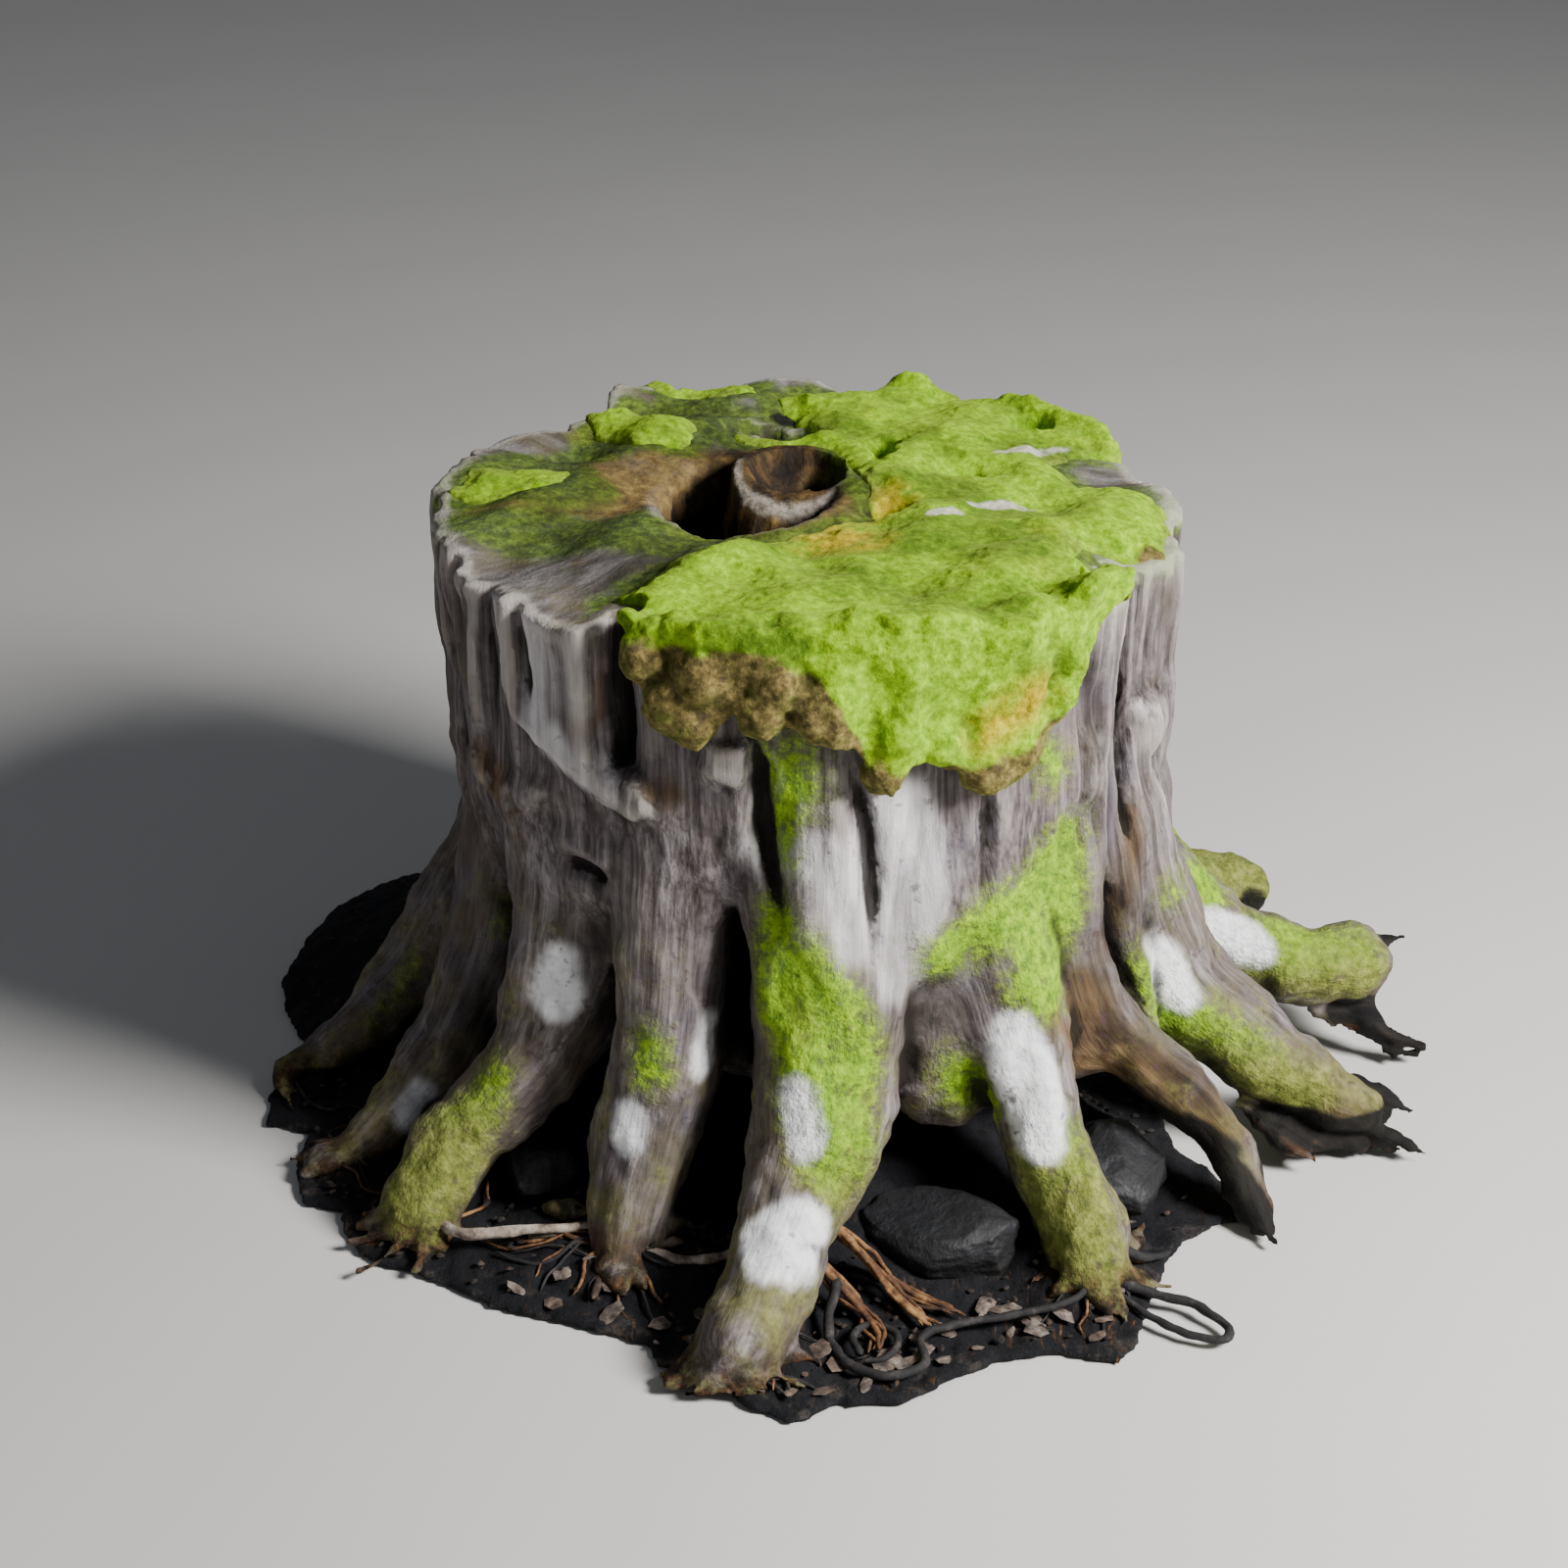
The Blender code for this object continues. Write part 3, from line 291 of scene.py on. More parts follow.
# The rotted heart
HEART_HOLLOW = ((-0.040, 0.008, 0.446), (0.060, 0.067, 0.068))
HEART_PIT = ((-0.070, 0.016, 0.400), (0.026, 0.036, 0.045))
CUP_FOOT = (-0.010, 0.018, 0.370)
CUP_MOUTH = (-0.008, 0.034, 0.455)
CUP_RADII = (0.046, 0.041)
CUP_RIM = (0.449, 0.36)
CUP_BOWLS = (
    ((-0.006, 0.037, 0.464), (0.034, 0.031, 0.042)),
    ((0.010, 0.036, 0.434), (0.020, 0.022, 0.034)),
)
FACE_FALL = 0.009
FACE_PITS = (
    (-0.034, 0.150, 0.024, 0.013, 0.022),
    (-0.008, 0.136, 0.020, 0.016, 0.024),
    (0.054, 0.098, 0.014, 0.018, 0.022),
    (0.106, 0.046, 0.018, 0.012, 0.012),
    (0.163, 0.146, 0.016, 0.016, 0.030),
    (0.056, -0.022, 0.018, 0.012, 0.010),
    (-0.160, 0.088, 0.030, 0.010, 0.009),
)

# Clefts: depth, then (azimuth in degrees, height, half width) along each
CLEFTS = (
    (
        0.030,
        (
            (-29, 0.475, 0.0060),
            (-29, 0.42, 0.0065),
            (-30, 0.37, 0.0060),
            (-31, 0.32, 0.0050),
            (-32, 0.25, 0.0010),
        ),
    ),
    (
        0.015,
        (
            (-22, 0.33, 0.0010),
            (-21, 0.29, 0.0040),
            (-20, 0.25, 0.0030),
            (-15, 0.20, 0.0030),
            (-9, 0.165, 0.0010),
        ),
    ),
    (
        0.014,
        (
            (-98, 0.385, 0.0010),
            (-97, 0.36, 0.0040),
            (-96, 0.32, 0.0045),
            (-95, 0.29, 0.0032),
            (-93, 0.25, 0.0008),
        ),
    ),
    (
        0.012,
        (
            (-84, 0.37, 0.0010),
            (-82, 0.33, 0.0032),
            (-81, 0.29, 0.0034),
            (-80, 0.25, 0.0020),
            (-78, 0.20, 0.0006),
        ),
    ),
    (0.011, ((-63, 0.34, 0.0010), (-63, 0.31, 0.0032), (-63, 0.27, 0.0022), (-64, 0.24, 0.0006))),
    (
        0.022,
        (
            (-119.5, 0.475, 0.0030),
            (-119.5, 0.43, 0.0045),
            (-119, 0.39, 0.0064),
            (-118.5, 0.35, 0.0060),
            (-118, 0.338, 0.0010),
        ),
    ),
    (0.010, ((-134, 0.448, 0.0020), (-133.5, 0.42, 0.0040), (-133, 0.39, 0.0030), (-133, 0.372, 0.0008))),
    (0.006, ((-116, 0.470, 0.0020), (-113, 0.42, 0.0028), (-109, 0.375, 0.0008))),
    (0.009, ((-155, 0.475, 0.0028), (-155, 0.41, 0.0026), (-156, 0.36, 0.0006))),
    (0.010, ((-149, 0.475, 0.0030), (-149, 0.40, 0.0030), (-150, 0.345, 0.0006))),
    (0.009, ((-143, 0.475, 0.0028), (-143, 0.41, 0.0032), (-143, 0.33, 0.0008))),
    (0.006, ((-140, 0.475, 0.0020), (-140, 0.42, 0.0020), (-140, 0.38, 0.0006))),
    (0.010, ((-163, 0.475, 0.0028), (-163, 0.40, 0.0030), (-165, 0.30, 0.0030), (-168, 0.22, 0.0008))),
    (
        0.017,
        (
            (-40, 0.245, 0.0010),
            (-39, 0.22, 0.0042),
            (-37, 0.18, 0.0050),
            (-35, 0.15, 0.0042),
            (-33, 0.12, 0.0010),
        ),
    ),
    (0.012, ((-130, 0.268, 0.0008), (-127, 0.264, 0.0038), (-123, 0.261, 0.0034), (-121, 0.263, 0.0008))),
    (
        0.030,
        (
            (-101, 0.255, 0.0008),
            (-101, 0.235, 0.0040),
            (-101, 0.20, 0.0070),
            (-101, 0.14, 0.0080),
            (-102, 0.10, 0.0060),
        ),
    ),
    (0.026, ((-121, 0.195, 0.0008), (-122, 0.165, 0.0060), (-124, 0.13, 0.0080), (-126, 0.09, 0.0080))),
    (0.024, ((-141, 0.225, 0.0008), (-144, 0.18, 0.0040), (-148, 0.13, 0.0060), (-152, 0.09, 0.0060))),
    (0.012, ((-8, 0.47, 0.0030), (-8, 0.40, 0.0034), (-9, 0.33, 0.0008))),
    (0.014, ((10, 0.47, 0.0034), (10, 0.38, 0.0040), (11, 0.28, 0.0030), (12, 0.20, 0.0008))),
    (0.016, ((30, 0.47, 0.0040), (30, 0.40, 0.0046), (29, 0.31, 0.0030), (28, 0.22, 0.0008))),
    (0.012, ((48, 0.47, 0.0030), (47, 0.36, 0.0040), (50, 0.24, 0.0008))),
    (0.018, ((76, 0.47, 0.0042), (77, 0.38, 0.0050), (75, 0.28, 0.0036), (74, 0.20, 0.0008))),
    (0.012, ((96, 0.36, 0.0008), (97, 0.31, 0.0036), (98, 0.24, 0.0008))),
    (0.020, ((112, 0.47, 0.0050), (114, 0.38, 0.0054), (113, 0.28, 0.0040), (112, 0.20, 0.0008))),
    (0.014, ((140, 0.47, 0.0036), (141, 0.39, 0.0040), (143, 0.30, 0.0008))),
    (0.012, ((160, 0.47, 0.0032), (162, 0.36, 0.0040), (160, 0.24, 0.0008))),
    (0.010, ((176, 0.47, 0.0030), (177, 0.38, 0.0030), (178, 0.30, 0.0008))),
)
SLABS = (
    (
        0.011,
        (
            (-121, 0.50),
            (-121, 0.352),
            (-114, 0.338),
            (-112, 0.326),
            (-115, 0.312),
            (-120, 0.322),
            (-126, 0.336),
            (-131, 0.345),
            (-136, 0.358),
            (-137.5, 0.378),
            (-137, 0.50),
        ),
    ),
    (0.008, ((-104, 0.374), (-98, 0.376), (-97, 0.358), (-100, 0.346), (-104, 0.352))),
    (0.005, ((-152, 0.50), (-152, 0.33), (-148, 0.32), (-146, 0.34), (-146, 0.50))),
    (0.004, ((-92, 0.34), (-84, 0.345), (-82, 0.24), (-86, 0.20), (-92, 0.25))),
)
SLAB_EDGE = 0.0045
SCARS = (
    (0.007, 0.245, ((-131, 0.350), (-125, 0.336), (-118, 0.321), (-113, 0.320))),
    (0.009, 0.242, ((-151, 0.328), (-148, 0.310), (-142, 0.299), (-136, 0.302), (-133, 0.312))),
    (0.008, 0.238, ((-147, 0.296), (-141, 0.285), (-135, 0.291))),
    (0.007, 0.236, ((-130, 0.277), (-122, 0.273))),
    (0.008, 0.243, ((-104, 0.355), (-99, 0.352))),
)
SCAR_BLEND = 0.012

# Moss: corner points (x, y) of each patch, and its thickness
MOSS_PATCHES = {
    "moss_mat": (
        0.0105,
        (
            (-0.125, -0.300),
            (-0.119, -0.185),
            (-0.104, -0.155),
            (-0.077, -0.122),
            (-0.048, -0.098),
            (-0.013, -0.082),
            (0.024, -0.058),
            (0.048, -0.040),
            (0.044, 0.024),
            (0.026, 0.074),
            (0.000, 0.108),
            (-0.040, 0.112),
            (-0.048, 0.130),
            (-0.010, 0.118),
            (0.012, 0.140),
            (-0.010, 0.172),
            (-0.018, 0.200),
            (0.012, 0.222),
            (0.046, 0.226),
            (0.062, 0.246),
            (0.100, 0.250),
            (0.118, 0.222),
            (0.160, 0.206),
            (0.206, 0.172),
            (0.228, 0.135),
            (0.222, 0.104),
            (0.186, 0.100),
            (0.168, 0.072),
            (0.190, 0.030),
            (0.222, 0.018),
            (0.242, -0.020),
            (0.232, -0.084),
            (0.206, -0.096),
            (0.176, -0.090),
            (0.170, -0.108),
            (0.186, -0.130),
            (0.200, -0.150),
            (0.240, -0.200),
            (0.160, -0.300),
        ),
    ),
    "moss_left": (
        0.008,
        (
            (-0.158, 0.165),
            (-0.128, 0.178),
            (-0.098, 0.150),
            (-0.076, 0.128),
            (-0.086, 0.092),
            (-0.112, 0.096),
            (-0.140, 0.118),
        ),
    ),
    "moss_left_rim": (
        0.007,
        (
            (-0.236, 0.012),
            (-0.226, 0.046),
            (-0.196, 0.052),
            (-0.160, 0.044),
            (-0.164, 0.016),
            (-0.196, 0.004),
            (-0.222, -0.006),
        ),
    ),
    "moss_back": (
        0.007,
        (
            (-0.132, 0.230),
            (-0.088, 0.238),
            (-0.040, 0.232),
            (-0.038, 0.208),
            (-0.066, 0.200),
            (-0.104, 0.214),
        ),
    ),
}
MOSS_EDGE = 0.008
MOSS_RISE = 0.022
MOSS_LEAST = 300
# Holes down through the mat: x, y, radii along x and y, depth
MOSS_HOLES = (
    (0.163, 0.156, 0.014, 0.011, 0.034),
    (0.054, 0.072, 0.009, 0.015, 0.024),
    (0.106, 0.050, 0.014, 0.008, 0.020),
    (-0.011, 0.172, 0.013, 0.009, 0.026),
)
MOSS_HEM = (
    (-124, 0.470),
    (-117, 0.452),
    (-114, 0.430),
    (-109, 0.388),
    (-104, 0.376),
    (-99, 0.404),
    (-95, 0.384),
    (-91, 0.400),
    (-87, 0.384),
    (-84, 0.380),
    (-79, 0.346),
    (-76, 0.366),
    (-71, 0.364),
    (-66, 0.338),
    (-61, 0.342),
    (-57, 0.354),
    (-53, 0.382),
    (-49, 0.420),
    (-44, 0.440),
    (-38, 0.452),
)
HEM_AWAY = 0.424
DRAPE_THICKNESS = 0.020
# Lobes of dead moss under the hanging edge: (azimuth, height, radius)
MOSS_LOBES = (
    (-112, 0.432, 0.015),
    (-108, 0.404, 0.018),
    (-105, 0.392, 0.014),
    (-104, 0.424, 0.018),
    (-96, 0.404, 0.016),
    (-94, 0.422, 0.016),
    (-89, 0.402, 0.015),
    (-86, 0.394, 0.012),
    (-80, 0.362, 0.013),
    (-78, 0.384, 0.016),
    (-72, 0.378, 0.014),
    (-66, 0.354, 0.013),
    (-60, 0.360, 0.012),
    (-54, 0.394, 0.012),
)
# Above this height the hanging moss is alive and green: (azimuth, height)
GREEN_LINE = (
    (-130, 0.450),
    (-116, 0.447),
    (-103, 0.445),
    (-94, 0.441),
    (-88, 0.427),
    (-85, 0.404),
    (-82, 0.372),
    (-70, 0.362),
    (-60, 0.368),
    (-52, 0.392),
    (-40, 0.430),
    (-20, 0.440),
)

# Patches of darker and of golden moss, each a line of (x, y, z, radius)
MOSS_DARK = (
    ((0.020, -0.108, 0.450, 0.016), (0.076, -0.092, 0.450, 0.024), (0.130, -0.112, 0.450, 0.022)),
    ((-0.110, -0.140, 0.444, 0.010), (-0.070, -0.100, 0.444, 0.014), (-0.030, -0.092, 0.446, 0.010)),
    ((0.020, 0.136, 0.446, 0.012), (0.034, 0.120, 0.446, 0.010)),
    (
        (0.070, 0.010, 0.446, 0.014),
        (0.096, -0.006, 0.446, 0.016),
        (0.126, -0.040, 0.448, 0.014),
        (0.170, -0.052, 0.446, 0.014),
    ),
    ((0.060, -0.180, 0.452, 0.012), (0.104, -0.216, 0.454, 0.018), (0.130, -0.190, 0.452, 0.010)),
    ((0.010, -0.150, 0.452, 0.010), (0.046, -0.172, 0.452, 0.012)),
    ((-0.040, -0.262, 0.452, 0.008), (-0.020, -0.264, 0.452, 0.008)),
    ((0.150, 0.100, 0.446, 0.014), (0.200, 0.080, 0.444, 0.016)),
)
MOSS_GOLD = (
    ((0.002, -0.060, 0.444, 0.018), (0.016, -0.084, 0.446, 0.022), (0.034, -0.098, 0.448, 0.014)),
    ((0.041, -0.038, 0.440, 0.014), (0.054, -0.014, 0.442, 0.012)),
    ((0.140, -0.236, 0.398, 0.010), (0.112, -0.250, 0.384, 0.008)),
)
# Bare pale wood that shows through the mat
MOSS_BARE = (
    ((0.138, 0.080, 0.446, 0.005), (0.158, 0.088, 0.444, 0.006), (0.186, 0.102, 0.442, 0.005)),
    ((0.112, -0.034, 0.450, 0.004), (0.143, -0.022, 0.448, 0.007), (0.168, -0.032, 0.448, 0.004)),
    ((0.084, -0.066, 0.452, 0.005), (0.100, -0.057, 0.452, 0.004)),
)

# Soil
SOIL_EDGE = (
    (-180, 0.362),
    (-177, 0.384),
    (-172, 0.386),
    (-166, 0.392),
    (-163, 0.363),
    (-158, 0.380),
    (-150, 0.392),
    (-147, 0.371),
    (-144, 0.382),
    (-138, 0.386),
    (-132, 0.370),
    (-121, 0.366),
    (-113, 0.358),
    (-106, 0.362),
    (-104, 0.382),
    (-100, 0.380),
    (-95, 0.412),
    (-91, 0.424),
    (-87, 0.406),
    (-82, 0.412),
    (-77, 0.394),
    (-72, 0.384),
    (-66, 0.390),
    (-62, 0.416),
    (-58, 0.400),
    (-54, 0.378),
    (-48, 0.354),
    (-43, 0.346),
    (-38, 0.352),
    (-34, 0.372),
    (-30, 0.330),
    (-26, 0.290),
    (-20, 0.272),
    (-10, 0.266),
    (0, 0.276),
    (8, 0.284),
    (16, 0.262),
    (26, 0.284),
    (34, 0.322),
    (44, 0.330),
    (52, 0.352),
    (60, 0.392),
    (66, 0.376),
    (75, 0.360),
    (86, 0.378),
    (98, 0.402),
    (106, 0.392),
    (116, 0.372),
    (126, 0.396),
    (134, 0.412),
    (142, 0.424),
    (150, 0.426),
    (158, 0.420),
    (166, 0.410),
    (173, 0.388),
    (180, 0.362),
)
SOIL_RIM_THICKNESS = 0.008
SOIL_HEART = 0.062
SOIL_BANKS = (
    (-0.330, 0.180, 0.130, 0.030),
    (-0.185, -0.262, 0.060, 0.014),
    (-0.075, -0.285, 0.050, 0.012),
    (0.190, -0.150, 0.080, 0.018),
    (0.060, 0.260, 0.120, 0.016),
)
FOOT_BANK = 0.009

# Stones: centre, radii, turn about Z in degrees
STONES = {
    "stone_right": ((0.205, -0.190, 0.026), (0.047, 0.046, 0.028), 20),
    "stone_front": ((0.094, -0.262, 0.024), (0.058, 0.034, 0.026), -24),
    "stone_left": ((-0.176, -0.196, 0.034), (0.026, 0.024, 0.022), 10),
}
ROCK_FACES = 16

# Side roots that lie on the soil: radius, tone from dark (0) over brown to pale (1), then points along each
ROOTLETS = (
    (
        0.0042,
        1.0,
        (
            (-0.245, -0.240, 0.022),
            (-0.222, -0.262, 0.027),
            (-0.186, -0.264, 0.031),
            (-0.149, -0.256, 0.029),
            (-0.122, -0.246, 0.026),
        ),
    ),
    (
        0.0038,
        0.95,
        (
            (-0.118, -0.252, 0.022),
            (-0.096, -0.278, 0.023),
            (-0.066, -0.288, 0.025),
            (-0.038, -0.290, 0.036),
            (-0.012, -0.300, 0.050),
        ),
    ),
    (
        0.0032,
        0.50,
        ((0.016, -0.296, 0.062), (0.040, -0.306, 0.036), (0.062, -0.326, 0.019), (0.078, -0.342, 0.013)),
    ),
    (
        0.0028,
        0.45,
        ((0.018, -0.290, 0.050), (0.046, -0.298, 0.026), (0.070, -0.312, 0.015), (0.096, -0.324, 0.012)),
    ),
    (
        0.0030,
        0.48,
        ((0.006, -0.318, 0.050), (0.030, -0.328, 0.023), (0.044, -0.346, 0.014), (0.046, -0.366, 0.013)),
    ),
    (
        0.0036,
        0.05,
        (
            (0.020, -0.322, 0.036),
            (0.014, -0.350, 0.016),
            (0.026, -0.380, 0.013),
            (0.052, -0.392, 0.013),
            (0.074, -0.380, 0.013),
            (0.072, -0.358, 0.015),
            (0.090, -0.346, 0.016),
            (0.130, -0.336, 0.017),
            (0.168, -0.324, 0.019),
            (0.190, -0.300, 0.024),
        ),
    ),
    (
        0.0030,
        0.10,
        (
            (0.034, -0.372, 0.013),
            (0.030, -0.352, 0.014),
            (0.044, -0.342, 0.014),
            (0.058, -0.354, 0.014),
            (0.052, -0.372, 0.013),
            (0.036, -0.378, 0.013),
        ),
    ),
    (
        0.0036,
        0.00,
        (
            (0.190, -0.296, 0.020),
            (0.222, -0.306, 0.012),
            (0.250, -0.316, 0.010),
            (0.268, -0.338, 0.008),
            (0.262, -0.350, 0.008),
            (0.240, -0.342, 0.008),
            (0.216, -0.324, 0.010),
            (0.196, -0.304, 0.016),
        ),
    ),
    (0.0036, 0.10, ((0.200, -0.286, 0.034), (0.222, -0.276, 0.018), (0.240, -0.262, 0.013))),
    (0.0036, 0.30, ((-0.112, -0.250, 0.024), (-0.130, -0.284, 0.015), (-0.136, -0.312, 0.012))),
)

# Colour patches on the wood, each a line of (x, y, z, radius)
FILM = (
    ((-0.010, -0.250, 0.362, 0.020), (-0.014, -0.252, 0.300, 0.012)),
    (
        (-0.018, -0.256, 0.262, 0.016),
        (-0.006, -0.268, 0.215, 0.034),
        (0.015, -0.281, 0.170, 0.038),
        (0.024, -0.300, 0.100, 0.026),
    ),
    ((0.168, -0.187, 0.280, 0.016), (0.156, -0.199, 0.240, 0.036), (0.150, -0.215, 0.196, 0.032)),
    ((0.088, -0.237, 0.222, 0.018), (0.130, -0.224, 0.240, 0.026)),
    ((0.100, -0.230, 0.132, 0.020), (0.112, -0.236, 0.112, 0.018)),
    ((0.160, -0.262, 0.092, 0.028), (0.170, -0.285, 0.058, 0.034), (0.186, -0.306, 0.030, 0.022)),
    ((-0.208, -0.204, 0.105, 0.018), (-0.232, -0.222, 0.074, 0.030), (-0.256, -0.240, 0.036, 0.028)),
    ((-0.101, -0.247, 0.164, 0.014), (-0.098, -0.252, 0.146, 0.016)),
    ((-0.200, -0.069, 0.170, 0.004), (-0.208, -0.070, 0.150, 0.004)),
    (
        (0.226, -0.142, 0.160, 0.016),
        (0.250, -0.124, 0.104, 0.030),
        (0.290, -0.128, 0.082, 0.030),
        (0.345, -0.130, 0.052, 0.022),
    ),
    ((0.330, -0.020, 0.106, 0.028), (0.360, -0.014, 0.094, 0.034), (0.398, 0.000, 0.084, 0.030)),
    ((0.244, -0.110, 0.200, 0.010), (0.252, -0.060, 0.172, 0.016), (0.286, -0.012, 0.150, 0.022)),
    ((0.245, 0.130, 0.120, 0.030), (0.300, 0.160, 0.080, 0.036), (0.350, 0.178, 0.052, 0.028)),
    ((-0.310, -0.028, 0.050, 0.004), (-0.280, -0.002, 0.082, 0.006)),
    ((0.150, -0.200, 0.345, 0.010), (0.158, -0.192, 0.330, 0.014)),
    ((0.110, 0.225, 0.200, 0.030), (0.130, 0.262, 0.110, 0.040), (0.160, 0.300, 0.070, 0.030)),
    ((-0.022, 0.250, 0.240, 0.034), (-0.030, 0.290, 0.130, 0.042), (-0.046, 0.335, 0.060, 0.030)),
    ((-0.150, 0.205, 0.180, 0.030), (-0.190, 0.240, 0.100, 0.040)),
    ((0.215, 0.120, 0.300, 0.026), (0.220, 0.125, 0.230, 0.034)),
)
FACE_FILM = (
    ((-0.225, 0.010, 0.440, 0.022), (-0.172, 0.000, 0.444, 0.020), (-0.146, 0.012, 0.440, 0.012)),
    (
        (-0.222, -0.048, 0.440, 0.018),
        (-0.170, -0.060, 0.440, 0.028),
        (-0.126, -0.064, 0.440, 0.028),
        (-0.090, -0.076, 0.440, 0.020),
    ),
    ((-0.110, -0.040, 0.440, 0.014), (-0.088, -0.062, 0.440, 0.018), (-0.060, -0.075, 0.440, 0.020)),
    ((-0.205, 0.070, 0.440, 0.010), (-0.165, 0.080, 0.440, 0.014), (-0.140, 0.120, 0.440, 0.016)),
    ((-0.090, 0.185, 0.442, 0.016), (-0.050, 0.165, 0.442, 0.016)),
    ((-0.150, 0.090, 0.440, 0.020), (-0.120, 0.110, 0.440, 0.020)),
)
OCHRE = (
    (
        (-0.145, 0.066, 0.440, 0.014),
        (-0.120, 0.030, 0.438, 0.026),
        (-0.098, 0.030, 0.436, 0.030),
        (-0.088, 0.080, 0.438, 0.022),
    ),
    ((-0.215, -0.018, 0.440, 0.010), (-0.170, -0.022, 0.442, 0.014), (-0.125, -0.004, 0.440, 0.018)),
    ((-0.150, 0.135, 0.438, 0.012), (-0.116, 0.150, 0.438, 0.012)),
    (
        (-0.075, -0.048, 0.436, 0.014),
        (-0.030, -0.066, 0.436, 0.022),
        (0.016, -0.052, 0.440, 0.024),
        (0.046, -0.024, 0.440, 0.022),
    ),
)
# Pale chalky crusts, partly painted highlights, each a line of (x, y, z, radius)
CHALK_AND_HIGHLIGHT = (
    ((-0.159, -0.190, 0.194, 0.007), (-0.163, -0.193, 0.168, 0.013)),
    ((-0.058, -0.236, 0.168, 0.007), (-0.064, -0.242, 0.146, 0.006)),
    ((-0.114, -0.254, 0.110, 0.007), (-0.116, -0.256, 0.098, 0.007)),
    ((-0.030, -0.340, 0.078, 0.010), (-0.004, -0.330, 0.082, 0.010), (0.008, -0.326, 0.078, 0.006)),
    ((-0.020, -0.348, 0.066, 0.012), (-0.006, -0.346, 0.064, 0.009)),
    ((0.134, -0.240, 0.168, 0.008), (0.142, -0.252, 0.136, 0.019), (0.152, -0.263, 0.104, 0.014)),
    ((0.236, -0.132, 0.172, 0.004), (0.246, -0.128, 0.148, 0.009), (0.257, -0.127, 0.128, 0.008)),
    ((0.288, -0.026, 0.128, 0.006), (0.312, -0.024, 0.112, 0.012), (0.326, -0.024, 0.104, 0.008)),
    ((-0.262, -0.134, 0.052, 0.005), (-0.270, -0.144, 0.040, 0.006)),
    ((0.000, -0.300, 0.122, 0.006), (-0.006, -0.284, 0.150, 0.005)),
    ((-0.060, 0.345, 0.068, 0.010), (-0.062, 0.355, 0.050, 0.012)),
    ((0.150, 0.290, 0.100, 0.010), (0.158, 0.300, 0.080, 0.012)),
)
BROWN = (
    ((0.213, -0.129, 0.262, 0.010), (0.208, -0.138, 0.230, 0.016), (0.196, -0.160, 0.200, 0.018)),
    ((0.163, -0.228, 0.172, 0.006), (0.176, -0.212, 0.140, 0.012), (0.186, -0.200, 0.112, 0.014)),
    (
        (0.182, -0.190, 0.160, 0.022),
        (0.198, -0.190, 0.116, 0.026),
        (0.236, -0.188, 0.098, 0.020),
        (0.274, -0.196, 0.062, 0.018),
    ),
    ((0.040, -0.255, 0.060, 0.020), (0.046, -0.275, 0.030, 0.026)),
    ((0.172, -0.300, 0.012, 0.024), (0.200, -0.304, 0.012, 0.022)),
    ((-0.116, -0.262, 0.036, 0.012), (-0.122, -0.268, 0.016, 0.020)),
    ((-0.262, -0.246, 0.008, 0.018), (-0.250, -0.256, 0.008, 0.016)),
    ((-0.215, -0.125, 0.305, 0.018), (-0.190, -0.152, 0.296, 0.016)),
    ((-0.094, -0.232, 0.335, 0.008), (-0.086, -0.234, 0.332, 0.008)),
    ((-0.116, -0.222, 0.420, 0.012), (-0.126, -0.216, 0.380, 0.010)),
    ((0.210, 0.130, 0.360, 0.030), (0.214, 0.132, 0.300, 0.034)),
    ((0.020, 0.250, 0.260, 0.030), (0.024, 0.252, 0.200, 0.034)),
    ((0.286, -0.146, 0.074, 0.008), (0.330, -0.136, 0.054, 0.012), (0.372, -0.132, 0.036, 0.020)),
    ((0.340, -0.040, 0.088, 0.008), (0.386, -0.020, 0.074, 0.012)),
    ((0.180, -0.206, 0.150, 0.010), (0.186, -0.200, 0.110, 0.014), (0.178, -0.214, 0.086, 0.012)),
    ((0.398, 0.000, 0.060, 0.014), (0.404, 0.006, 0.052, 0.014)),
)
# Bleached wood, partly a painted highlight
PALE = (
    ((-0.172, -0.196, 0.436, 0.008), (-0.172, -0.194, 0.380, 0.007), (-0.168, -0.194, 0.345, 0.009)),
    ((-0.156, -0.202, 0.352, 0.012), (-0.140, -0.208, 0.342, 0.010), (-0.122, -0.216, 0.328, 0.006)),
    ((-0.140, -0.210, 0.425, 0.004), (-0.138, -0.210, 0.385, 0.005)),
    ((-0.196, -0.168, 0.430, 0.004), (-0.196, -0.166, 0.370, 0.004)),
    ((0.060, -0.250, 0.330, 0.020), (0.064, -0.250, 0.270, 0.024), (0.060, -0.252, 0.215, 0.016)),
    ((-0.030, -0.250, 0.300, 0.008), (0.020, -0.256, 0.300, 0.016), (0.024, -0.258, 0.240, 0.012)),
    ((0.215, -0.130, 0.400, 0.010), (0.222, -0.120, 0.340, 0.010)),
)
